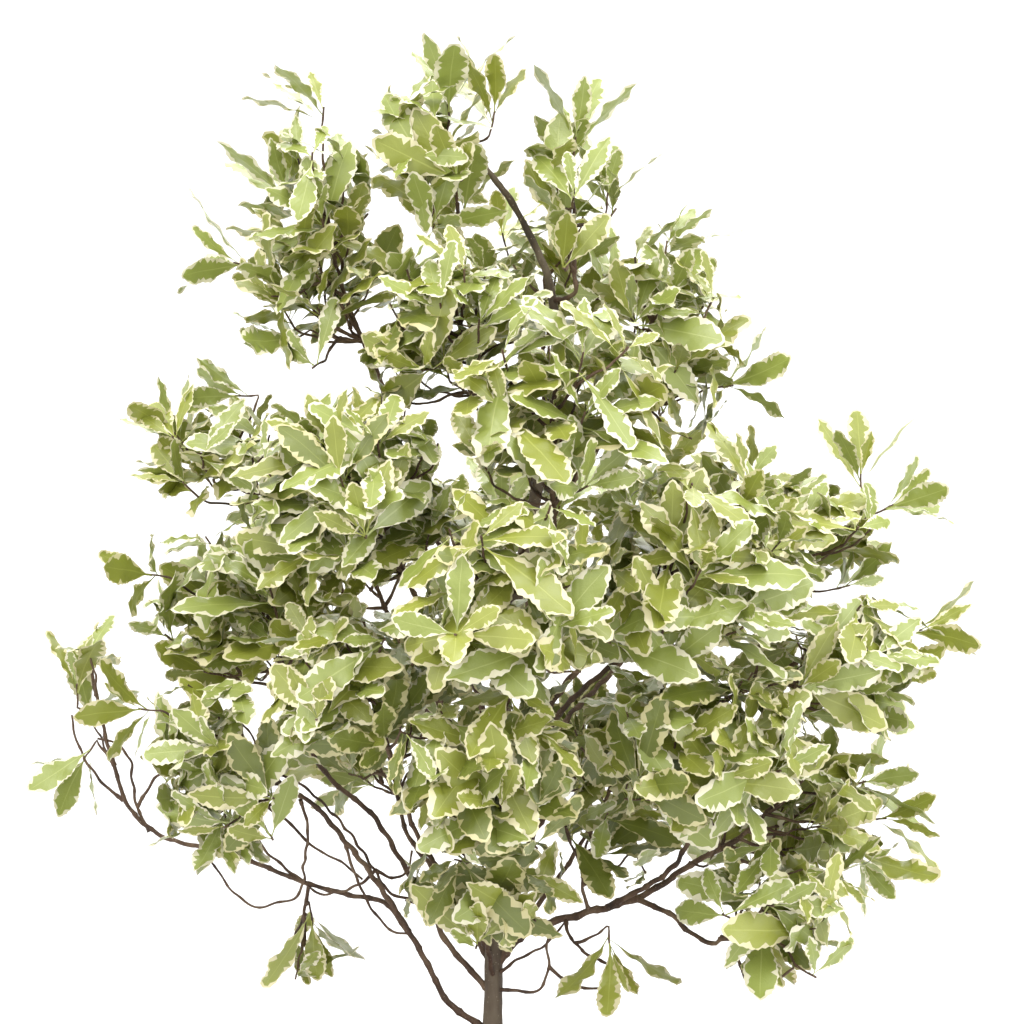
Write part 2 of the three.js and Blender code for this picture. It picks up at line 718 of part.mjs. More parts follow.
function growLeaves(mass, shoot, obstacles, older) {
  const leaves = [];
  const { line, aim, random, leading, leafShare } = shoot;
  const phase = 2 * Math.PI * random();
  for (let j = 0; j < LEAVES.tried && leaves.length < LEAVES.most; j++) {
    const root = line.at(-1).clone().addScaledVector(aim, -LEAVES.first - LEAVES.pitch * leaves.length);
    const open = LEAVES.open + LEAVES.openStep * j + LEAVES.openChance * (random() - 0.5);
    const size = mass.leafSize * leafShare * (LEAVES.smallest + LEAVES.sizeChance * random());
    const frame = leafFrame(root, aim, phase + j * GOLDEN_ANGLE, open, size);
    const corners = LEAF_CORNERS.map((c) => vec(c).applyMatrix4(frame));
    if (!corners.every((corner) => insideSpace(mass, corner, leading))) continue;
    if (leafTouches(frame, size, obstacles)) continue;
    const blade = BLADE_SOLID.transform(frame.toArray());
    if ([...older, ...leaves].some((leaf) => !leaf.blade.intersect(blade).isEmpty())) continue;
    leaves.push({ frame, size, blade, solid: LEAF_SOLID.transform(frame.toArray()) });
  }
  return leaves;
}

function foliageSolid(mass, limbSpots) {
  const stem = mass.stem;
  const shoots = [];
  const leaves = [];
  const stemSpots = denseSpots(stem.line, stem.radii);
  const plans = mass.leaders.map((leader, i) => () => leadShoot(mass, stem, leader, i));
  for (let k = 0; k < mass.shoots * LEAVES.rounds; k++) plans.push(() => plainShoot(mass, stem, k));
  for (const plan of plans) {
    if (shoots.length >= mass.shoots) break;
    const shoot = growShoot(mass, plan(), limbSpots, leaves);
    if (!shoot) continue;
    const obstacles = [...limbSpots, ...stemSpots, ...shoots.flatMap((other) => other.spots)];
    const added = growLeaves(mass, shoot, obstacles, leaves);
    if (added.length < LEAVES.fewest) continue;
    shoots.push(shoot);
    leaves.push(...added);
  }
  const pieces = [stem, ...shoots].map(limbSolid).concat(leaves.map((leaf) => leaf.solid));
  return largestBody(wasm.Manifold.union(pieces).simplify(FUSE_TOLERANCE));
}

// Pot and soil
function potGeometry() {
  const { height, rimRadius, footRadius, wall, floor, rimBand, rimStep, edge, innerEdge, sides } = POT;
  const bandFoot = height - rimBand;
  const bodyTop = rimRadius - rimStep;
  const slope = (bodyTop - footRadius) / bandFoot;
  const innerAt = (z) => footRadius + slope * z - wall;
  const profile = [
    [0, 0],
    [footRadius - edge, 0],
    [footRadius, edge],
    [bodyTop - slope * POT.bandSlant, bandFoot - POT.bandSlant],
    [rimRadius - POT.bandEdge, bandFoot],
    [rimRadius, bandFoot + edge],
    [rimRadius, height - edge],
    [rimRadius - edge, height],
    [innerAt(height) + edge, height],
    [innerAt(height), height - edge],
    [innerAt(floor + innerEdge), floor + innerEdge],
    [innerAt(floor) - innerEdge, floor],
    [0, floor],
  ].map(([x, z]) => new THREE.Vector2(x, z));
  return new THREE.LatheGeometry(profile, sides).rotateX(Math.PI / 2);
}

function potSolid() {
  const { radius, length, sides, ring } = DRAIN;
  const drain = toSolid(new THREE.CylinderGeometry(radius, radius, length, sides).rotateX(Math.PI / 2));
  let solid = toSolid(potGeometry());
  for (let i = 0; i < DRAIN.count; i++) {
    const angle = (2 * Math.PI * i) / DRAIN.count + DRAIN.firstTurn;
    solid = solid.subtract(drain.translate([ring * Math.cos(angle), ring * Math.sin(angle), 0]));
  }
  return solid;
}

function soilGeometry() {
  const { height, rimRadius, footRadius, wall, floor, rimBand, rimStep } = POT;
  const slope = (rimRadius - rimStep - footRadius) / (height - rimBand);
  const shrink = Math.cos(Math.PI / POT.sides);
  const radiusAt = (z) => (footRadius + slope * z - wall) * shrink - SOIL.clear;
  const low = floor + POT.innerEdge;
  const profile = [
    [0, floor + GAP],
    [radiusAt(floor) - SOIL.footEdge, floor + GAP],
    [radiusAt(low), low + GAP],
    [radiusAt(SOIL.top - SOIL.skirt), SOIL.top - SOIL.skirt],
    [radiusAt(SOIL.top) * SOIL.shoulder, SOIL.top],
    [SOIL.flat, SOIL.top + SOIL.dome],
    [0, SOIL.top + SOIL.dome],
  ].map(([x, z]) => new THREE.Vector2(x, z));
  return new THREE.LatheGeometry(profile, SOIL.sides).rotateX(Math.PI / 2);
}

// Assembly
const plant = new THREE.Group();

function addMesh(name, solid, finish, place) {
  const material = new THREE.MeshStandardMaterial({ ...COLOURS[finish], metalness: 0 });
  const mesh = new THREE.Mesh(toGeometry(solid.translate(place.map((p) => -p))), material);
  mesh.name = name;
  mesh.position.set(...place);
  plant.add(mesh);
}

// A limb that starts in its parent is cut back to lie just off the parent's surface
function cutLimb(limb) {
  const whole = limbSolid(limb);
  if (!limb.parent) return whole;
  const { radii, sides } = limb.parent;
  const grown = radii.map((r) => (r + GAP) / Math.cos(Math.PI / sides));
  return largestBody(whole.subtract(limbSolid({ ...limb.parent, radii: grown })));
}

function build() {
  addMesh("pot", potSolid(), "clay", [0, 0, 0]);
  addMesh("soil", toSolid(soilGeometry()), "soil", [0, 0, 0]);
  addTrunk();
  for (const mass of MASSES) {
    mass.size = (mass.reach[0] + mass.reach[1] + mass.reach[2]) / 3;
    mass.leafSize = Math.min(1, mass.size / LEAVES.roomy);
    mass.turn = 2 * Math.PI * makeRandom(mass.name)();
    mass.lift ??= SHOOT.lift;
    mass.leaders ??= [];
  }
  const order = (mass) => (mass.parent === "trunk" ? 0 : 1);
  for (const mass of [...MASSES].sort((a, b) => order(a) - order(b))) addBough(mass);
  for (const mass of MASSES) mass.stem = stemOf(mass);
  for (const [name, limb] of limbs) addMesh(name, cutLimb(limb), "bark", limb.line[0].toArray());
  for (const mass of MASSES) {
    const others = MASSES.filter((other) => other !== mass).map((other) => other.stem);
    const obstacles = [...limbs.values(), ...others].flatMap((l) => denseSpots(l.line, l.radii));
    addMesh(`${mass.name}_leaves`, foliageSolid(mass, obstacles), "foliage", mass.at);
  }
}

build();

export default plant;
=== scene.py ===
"""Finish work for a potted variegated pittosporum.

The plant's limbs, twigs and leaves grow by the same seeded rule as the part's own solids, carried on to
finer twigs and to leaves of their real size. Sizes of the plant are in millimetres and become metres
where a mesh is made. -Y is the front and +Z is up.
"""

import json
import logging
import math
from collections.abc import Callable
from dataclasses import dataclass, field
from enum import Enum

import bmesh
import bpy
import numpy as np
from mathutils import Matrix, Vector

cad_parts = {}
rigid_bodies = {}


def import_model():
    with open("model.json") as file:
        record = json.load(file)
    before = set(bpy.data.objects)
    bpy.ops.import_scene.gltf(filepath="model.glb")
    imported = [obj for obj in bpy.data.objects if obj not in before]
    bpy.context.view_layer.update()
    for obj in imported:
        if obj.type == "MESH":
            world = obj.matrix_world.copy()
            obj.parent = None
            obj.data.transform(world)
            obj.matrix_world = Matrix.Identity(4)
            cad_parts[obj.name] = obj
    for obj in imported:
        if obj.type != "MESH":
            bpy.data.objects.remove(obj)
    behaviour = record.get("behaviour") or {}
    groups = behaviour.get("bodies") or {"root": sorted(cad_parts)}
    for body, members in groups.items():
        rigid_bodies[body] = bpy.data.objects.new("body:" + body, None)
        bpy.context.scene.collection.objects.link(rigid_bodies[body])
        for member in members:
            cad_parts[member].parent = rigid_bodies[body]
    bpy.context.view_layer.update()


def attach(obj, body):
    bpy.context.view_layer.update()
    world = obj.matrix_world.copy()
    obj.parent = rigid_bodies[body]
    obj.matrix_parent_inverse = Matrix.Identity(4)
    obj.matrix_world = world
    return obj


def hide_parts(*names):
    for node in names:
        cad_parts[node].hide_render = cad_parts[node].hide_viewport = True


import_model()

LOG = logging.getLogger("pittosporum")
Point = tuple[float, float, float]
Array = np.ndarray
Mesh = bpy.types.Mesh
Material = bpy.types.Material
Socket = bpy.types.NodeSocket

MM = 0.001
ROUND = 6.28
WORD = 0xFFFFFFFF
GOLDEN_ANGLE = math.pi * (3 - math.sqrt(5))
# Three steps that spread the shoots of a mass evenly over it
EVEN_STEPS = (0.8191725134, 0.6710436067, 0.5497004779)
UP = np.array([0.0, 0.0, 1.0])
CROWN_MIDDLE = np.array([0.0, 0.0, 460.0])
# Room between a stem and its bough, between two masses, and between a limb and what passes it
GAP = 0.3
SPACE_GAP = 1.2
LIMB_GAP = 0.6
# How far apart the spots along a limb are, and how many at a twig's root may touch its stem
SPOT_STEP = 2.5
ROOT_SPOTS = 3


class Region(Enum):
    """The part of the crown whose leaves are joined into one piece."""

    TOP = "top"
    LEFT = "left"
    RIGHT = "right"
    FRONT = "front"
    BACK = "back"


class Zone(Enum):
    """The parts of a leaf that differ in colour."""

    RIB = 0
    BLADE = 1
    MARGIN = 2


class Tint(Enum):
    """The tints that whole leaves come in, spray by spray. SHADE is a darker copy of the others, partly
    painted shade.
    """

    SAGE = 0
    MEADOW = 1
    FRESH = 2
    # Darker leaf colours: a few sprays at random, and many more in the shady low middle of the crown as
    # painted shade
    SHADE = 3


# Small helpers on arrays


def vec(*parts: float) -> Array:
    """Returns the parts as an array."""
    return np.array(parts, dtype=float)


def unit(direction: Array) -> Array:
    """Returns the direction at length one."""
    return direction / np.linalg.norm(direction)


def spin(direction: Array, axis: Array, angle: float) -> Array:
    """Turns a direction about a unit axis.

    Args:
        direction: The direction to turn.
        axis: The unit axis to turn it about.
        angle: The angle in radians.

    Returns:
        The turned direction.
    """
    flat = direction * math.cos(angle) + np.cross(axis, direction) * math.sin(angle)
    return flat + axis * np.dot(axis, direction) * (1 - math.cos(angle))


def curve_line(points: list[Array], steps: int) -> Array:
    """Draws a Catmull-Rom line through points.

    Args:
        points: The points that the line passes.
        steps: The number of steps from end to end.

    Returns:
        The points of the line, one row each.
    """
    before = 2 * points[0] - points[1]
    after = 2 * points[-1] - points[-2]
    ends = [before, *points, after]
    rows = []
    for i in range(steps + 1):
        place = (len(points) - 1) * i / steps
        span = min(int(place), len(points) - 2)
        t = place - span
        p0, p1, p2, p3 = ends[span : span + 4]
        lead = 0.5 * (p2 - p0)
        tail = 0.5 * (p3 - p1)
        square = -3 * p1 + 3 * p2 - 2 * lead - tail
        cube = 2 * p1 - 2 * p2 + lead + tail
        rows.append(p1 + lead * t + square * t**2 + cube * t**3)
    return np.array(rows)


def arc_line(start: Array, middle: Array, end: Array, steps: int) -> Array:
    """Draws a quadratic arc.

    Args:
        start: Where the arc starts.
        middle: The point that it bends towards.
        end: Where it ends.
        steps: The number of steps.

    Returns:
        The points of the arc, one row each.
    """
    t = np.linspace(0, 1, steps + 1)[:, None]
    return start * (1 - t) ** 2 + middle * 2 * t * (1 - t) + end * t**2


def dense_spots(line: Array, radii: Array) -> Array:
    """Sets spots along a limb, to tell what touches it.

    Args:
        line: The limb's line.
        radii: Its radius at each point of the line.

    Returns:
        Rows of x, y, z and radius.
    """
    rows = []
    for i in range(len(line) - 1):
        count = max(1, math.ceil(np.linalg.norm(line[i + 1] - line[i]) / SPOT_STEP))
        share = np.linspace(0, 1, count + 1)[:, None]
        at = line[i] + (line[i + 1] - line[i]) * share
        radius = radii[i] + (radii[i + 1] - radii[i]) * share
        rows.append(np.hstack([at, radius]))
    return np.vstack(rows)


class SeededStream:
    """A stream of numbers from 0 to 1 that is always the same for the same text."""

    def __init__(self, text: str) -> None:
        """Starts the stream from its text.

        Args:
            text: The text that sets every number.
        """
        self.state = 2166136261
        for letter in text:
            self.state = ((self.state ^ ord(letter)) * 16777619) & WORD

    def draw(self) -> float:
        """Draws the next number.

        Returns:
            The number, from 0 to 1.
        """
        self.state = (self.state + 0x6D2B79F5) & WORD
        mixed = ((self.state ^ (self.state >> 15)) * (self.state | 1)) & WORD
        mixed ^= (mixed + (((mixed ^ (mixed >> 7)) * (mixed | 61)) & WORD)) & WORD
        return ((mixed ^ (mixed >> 14)) & WORD) / 4294967296

    def between(self, low: float, high: float) -> float:
        """Returns the next number, spread from low to high."""
        return low + (high - low) * self.draw()


# The plant's named sizes

# The crown's outline: a height, how far the crown reaches there to the left and to the right, and half
# its depth. The outline's rounds are a little square, which the share that each side is raised to gives.
OUTLINE = (
    (824, -31, -8, 40),
    (804, -84, 4, 80),
    (785, -119, 57, 100),
    (759, -139, 70, 115),
    (724, -157, 96, 130),
    (694, -177, 139, 145),
    (647, -151, 150, 160),
    (605, -217, 165, 175),
    (581, -225, 231, 190),
    (545, -212, 259, 205),
    (491, -237, 286, 225),
    (460, -262, 296, 225),
    (424, -262, 267, 225),
    (374, -271, 262, 220),
    (337, -228, 275, 200),
    (300, -176, 251, 170),
    (269, -137, 218, 140),
    (237, -125, 181, 100),
)
# Long bare twigs that cross between the lower boughs, each as the places that it passes through
BARE_TWIGS = (
    ((-43, 7, 299), (-54, 0, 301), (-64, -10, 308), (-72, -22, 325), (-85, -34, 349), (-98, -46, 368),
     (-114, -56, 385), (-134, -60, 394), (-152, -62, 401)),
    ((-71, -22, 324), (-60, -14, 317), (-52, -6, 321), (-50, 2, 330)),
    ((-71, -22, 324), (-79, -20, 316), (-92, -14, 309), (-106, -8, 306), (-116, 0, 311)),
    ((-116, 0, 311), (-128, 4, 319), (-141, 8, 330), (-147, 6, 344)),
    ((-113, -52, 374), (-110, -42, 358), (-111, -30, 343), (-115, -12, 324), (-116, 0, 311),
     (-121, 4, 301), (-134, 6, 296), (-146, 6, 294), (-159, 4, 303), (-166, 4, 313), (-173, 6, 322),
     (-177, 9, 328)),
    ((-138, -46, 372), (-121, -32, 355), (-108, -28, 340), (-92, -24, 330), (-79, -20, 318)),
    ((-88, -42, 347), (-85, -36, 333), (-80, -30, 317), (-72, -24, 299), (-61, -20, 286),
     (-52, -18, 284)),
    ((-211, 10, 340), (-219, 14, 354), (-222, 16, 371), (-223, 14, 384), (-230, 12, 394),
     (-242, 10, 398)),
    ((-219, 14, 354), (-211, 16, 368), (-201, 14, 378), (-191, 10, 380)),
    ((-227, 11, 359), (-240, 10, 371), (-249, 8, 385), (-255, 8, 399), (-257, 8, 413)),
    ((4, -4, 245), (27, -12, 247), (33, -16, 263), (32, -18, 277), (35, -10, 286)),
    ((33, -16, 263), (46, -20, 254), (64, -22, 251), (71, -24, 257)),
    ((142, -54, 289), (146, -56, 273), (155, -58, 261), (168, -60, 269), (180, -62, 279)),
    ((4, -4, 256), (16, -8, 266), (31, -12, 275), (43, -8, 288)),
    ((122, -66, 377), (129, -60, 358), (132, -54, 347), (125, -50, 334), (115, -48, 336)),
)
OUTLINE_POWER = 2.6


@dataclass
class Mass:
    """A mass of foliage: its middle, its half sizes, and the bough that carries it.

    Its leaders are long shoots that may stand out of it. Each has its place on the stem, the point where it
    ends and the direction of its tip.
    """

    name: str
    at: Point
    reach: Point
    region: Region
    parent: str
    leaves_at: float
    via: tuple[Point, ...] = ()
    thick: float = 0.0
    direct: bool = False
    sprays: int = 10
    lift: float = 1.0
    leaders: tuple[tuple[float, Point, Point], ...] = ()

    def __post_init__(self) -> None:
        """Works out the values that the growing rule needs."""
        self.middle = np.array(self.at, dtype=float)
        self.half = np.array(self.reach, dtype=float)
        self.size = float(self.half.mean())
        self.turn = 2 * math.pi * SeededStream(self.name).draw()

    def depth(self, point: Array) -> float:
        """Returns how far a point is from the middle, as a share of the reach."""
        return float(np.linalg.norm((point - self.middle) / self.half))


MASSES = (
    Mass("crown_top", (-33, -18, 736), (57, 64, 67), Region.TOP, "trunk", 1.0, sprays=7, lift=1.4,
         leaders=((0.9, (-26, -18, 767), (0, 0, 10)), (0.8, (-2, -18, 760), (2, 0, 10)))),
    Mass("top_right", (47, -6, 726), (49, 58, 63), Region.TOP, "trunk", 0.76, ((48, -2, 668),), 1.8,
         sprays=6, lift=1.3,
         leaders=((0.8, (47, -6, 747), (1, 0, 10)), (0.6, (66, -6, 713), (1, 0, 10)))),
    Mass("upper_left", (-101, -6, 697), (63, 62, 94), Region.TOP, "trunk", 0.42,
         ((-57, -6, 573), (-66, -14, 615), (-75, -14, 640)), 2.6, sprays=9, lift=1.2,
         leaders=((0.8, (-101, -6, 763), (1, 0, 10)), (0.05, (-139, -6, 684), (-10, 0, 2)),
                  (0.3, (-116, -6, 713), (-3, 0, 7)), (0, (-108, -6, 647), (-8, 0, -4)))),
    Mass("upper_right", (101, 8, 647), (65, 72, 85), Region.TOP, "trunk", 0.52, ((62, 12, 574),), 2.2,
         sprays=10,
         leaders=((0.8, (102, 8, 685), (1, 0, 10)), (0.2, (129, 8, 612), (10, 0, 1)))),
    Mass("upper_heart", (-23, -60, 646), (64, 70, 72), Region.TOP, "trunk", 0.58, ((8, -22, 596),), 1.9,
         sprays=12),
    Mass("left_arm", (-170, 14, 570), (61, 62, 52), Region.LEFT, "trunk", 0.3,
         ((-40, 12, 412), (-86, 18, 478), (-114, 18, 526)), 2.2, sprays=6,
         leaders=((0.8, (-184, 14, 573), (-6, 0, 8)), (0.75, (-141, 14, 607), (-10, 0, 0)))),
    Mass("left_shoulder", (-142, -16, 481), (77, 80, 70), Region.LEFT, "trunk", 0.155, ((-28, 4, 271),
         (-38, 6, 291), (-55, 8, 319), (-74, 6, 351), (-96, 0, 372), (-110, -6, 393)), 2.3, sprays=10,
         leaders=((0.7, (-193, -16, 501), (-10, 0, 1)),)),
    Mass("left_low", (-154, -60, 404), (56, 72, 70), Region.LEFT, "trunk", 0.112, ((-27, -4, 236),
         (-39, -10, 260), (-51, -18, 285), (-72, -32, 323), (-87, -42, 346), (-104, -52, 370)), 2.6,
         sprays=9, lift=0.2,
         leaders=((0.5, (-156, -60, 380), (0, -1, -10)), (0.8, (-191, -60, 428), (-10, 0, 1)))),
    Mass("far_left", (-245, 10, 422), (42, 56, 63), Region.LEFT, "left_low_bough", 0.42,
         ((-66, -14, 302), (-87, -8, 305), (-116, 0, 311), (-155, 6, 325), (-179, 10, 330),
         (-205, 10, 338), (-224, 10, 356), (-240, 10, 371)), 1.9, sprays=2, lift=0.8,
         leaders=((0.7, (-254, 10, 417), (0, 0, 10)), (0.2, (-242, 10, 397), (-6, 0, -8)))),
    Mass("left_hanging", (-115, -6, 284), (39, 48, 39), Region.LEFT, "far_left_bough", 0.36,
         direct=True, sprays=2, lift=-0.9,
         leaders=((0.5, (-112, -6, 300), (1, 0, -10)),)),
    Mass("front_left", (-70, -112, 556), (80, 78, 74), Region.FRONT, "trunk", 0.34,
         ((-12, -36, 442), (-38, -74, 486)), 2.3, sprays=15,
         leaders=((0.8, (-33, -118, 575), (2, -3, 8)),)),
    Mass("front_top", (35, -116, 601), (82, 76, 77), Region.FRONT, "trunk", 0.4,
         ((20, -40, 486), (34, -82, 534)), 2.3, sprays=12),
    Mass("front_heart", (5, -164, 513), (77, 72, 69), Region.FRONT, "trunk", 0.25,
         ((4, -50, 386), (2, -108, 428)), 2.3, sprays=11),
    Mass("front_right", (108, -104, 514), (83, 78, 78), Region.FRONT, "trunk", 0.31,
         ((38, -34, 420), (74, -72, 462)), 2.3, sprays=12),
    Mass("low_left_heart", (-71, -110, 455), (72, 74, 66), Region.LEFT, "trunk", 0.19,
         ((-22, -30, 312), (-44, -66, 356)), 2.2, sprays=10),
    Mass("front_low", (-4, -132, 417), (70, 76, 65), Region.FRONT, "trunk", 0.21,
         ((10, -42, 334), (10, -88, 368)), 2.2, sprays=11),
    Mass("front_foot", (-2, -70, 334), (61, 66, 48), Region.FRONT, "trunk", 0.17, ((-4, -26, 282),),
         1.9, sprays=6, lift=0.3),
    Mass("right_arm", (184, 0, 516), (74, 70, 55), Region.RIGHT, "trunk", 0.33,
         ((46, 4, 436), (106, 4, 484), (144, 2, 510)), 2.4, sprays=9,
         leaders=((0.6, (220, 0, 546), (0, 0, 10)), (0.7, (227, 0, 536), (10, 0, 5)),
                  (0.4, (200, 0, 490), (8, 0, 2)))),
    Mass("right_shoulder", (200, -28, 456), (77, 74, 56), Region.RIGHT, "trunk", 0.24,
         ((42, -12, 372), (96, -22, 408), (140, -28, 430)), 2.4, sprays=10, lift=0.8,
         leaders=((0.7, (239, -28, 468), (10, 0, 2)), (0.1, (205, -28, 422), (10, 0, -1)))),
    Mass("right_low", (111, -100, 422), (81, 74, 72), Region.RIGHT, "right_low_arm_bough", 0.5,
         ((103, -42, 328), (115, -62, 356)), 2.1, sprays=11),
    Mass("right_low_arm", (180, -12, 357), (72, 68, 69), Region.RIGHT, "trunk", 0.185, ((20, -4, 281),
         (50, -10, 293), (88, -16, 306), (120, -20, 328), (142, -20, 342)), 3.3, sprays=9, lift=0.5,
         leaders=((0.7, (222, -12, 352), (10, 0, 1)), (0.6, (213, -12, 339), (6, 0, -8)),
                  (0.9, (210, -12, 372), (10, 0, 3)))),
    Mass("right_hanging", (163, -62, 318), (64, 62, 51), Region.RIGHT, "right_low_arm_bough", 0.58,
         ((106, -34, 300), (117, -42, 291), (130, -50, 287)), 2.1, sprays=6, lift=0.1,
         leaders=((0.6, (159, -62, 313), (-1, -1, -10)),)),
    Mass("low_right_heart", (63, -30, 346), (55, 60, 47), Region.RIGHT, "right_low_arm_bough", 0.44,
         direct=True, sprays=7,
         leaders=((0.45, (84, -30, 338), (3, -1, -6)),)),
    Mass("right_foot", (67, -40, 285), (38, 48, 43), Region.RIGHT, "right_low_arm_bough", 0.36,
         direct=True, sprays=2, lift=-0.8,
         leaders=((0.6, (68, -40, 295), (1, 0, -10)),)),
    Mass("back_top", (32, 80, 662), (77, 76, 83), Region.BACK, "trunk", 0.52, ((30, 44, 584),), 2.2,
         sprays=7),
    Mass("back_left", (-97, 108, 521), (93, 84, 93), Region.BACK, "trunk", 0.27,
         ((-24, 38, 394), (-58, 72, 444)), 2.4, sprays=9),
    Mass("back_right", (126, 108, 505), (96, 84, 93), Region.BACK, "trunk", 0.28,
         ((38, 40, 394), (78, 72, 432)), 2.4, sprays=9),
    Mass("back_heart", (11, 158, 489), (89, 78, 96), Region.BACK, "trunk", 0.3,
         ((6, 58, 414), (6, 104, 442)), 2.4, sprays=8),
    Mass("back_low_left", (-78, 100, 389), (83, 80, 77), Region.BACK, "trunk", 0.18,
         ((-24, 32, 292), (-54, 66, 322)), 2.3, sprays=8),
    Mass("back_low_right", (87, 96, 360), (89, 80, 76), Region.BACK, "trunk", 0.2,
         ((34, 34, 296), (60, 64, 312)), 2.3, sprays=9),
)


@dataclass
class Limb:
    """A tapering limb: the coarse line that the growing rule reads, and the fine one that is drawn."""

    name: str
    line: Array
    radii: Array
    fine: Array
    fine_radii: Array

    def along(self, share: float) -> Array:
        """Finds a point of the coarse line.

        Args:
            share: How far along it the point is.

        Returns:
            The point.
        """
        exact = share * (len(self.line) - 1)
        i = min(int(exact), len(self.line) - 2)
        return self.line[i] + (self.line[i + 1] - self.line[i]) * (exact - i)

    def spots(self) -> Array:
        """Returns the limb's spots."""
        return dense_spots(self.line, self.radii)


@dataclass
class Trunk:
    """The short, slim trunk that runs on through the crown."""

    path: tuple[Point, ...] = (
        (0, 0, 160.3),
        (-1, -1, 216),
        (1, 0, 282),
        (5, 4, 365),
        (9, 9, 455),
        (26, 13, 550),
        (37, 11, 620),
        (34, 5, 672),
        (14, -3, 717),
        (-4, -8, 742),
    )
    foot_radius: float = 10.5
    radius: float = 6.7
    tip_radius: float = 1.5
    taper: float = 0.9
    flare_height: float = 22.0
    steps: int = 20
    fine_steps: int = 280

    def radii(self, line: Array) -> Array:
        """Works out the trunk's radius along a line.

        Args:
            line: The points from foot to tip.

        Returns:
            The radius at each point.
        """
        share = np.linspace(0, 1, len(line))
        plain = self.radius + (self.tip_radius - self.radius) * share**self.taper
        flare = np.exp(-(line[:, 2] - line[0, 2]) / self.flare_height)
        return plain + (self.foot_radius - self.radius) * flare

    def limb(self) -> Limb:
        """Draws the trunk.

        Returns:
            The trunk as a limb.
        """
        points = [vec(*p) for p in self.path]
        line = curve_line(points, self.steps)
        fine = curve_line(points, self.fine_steps)
        return Limb("trunk", line, self.radii(line), fine, self.radii(fine))


@dataclass(frozen=True)
class Leaf:
    """A leaf on its twig: its root, its frame, its size and what it looks like."""

    root: Array
    basis: Array
    size: float
    kind: int
    tint: Tint
    region: Region


@dataclass
class Sprig:
    """A twig that ends in a spray of leaves."""

    line: Array
    radii: Array
    aim: Array
    random: SeededStream
    spots: Array
    leading: bool = False


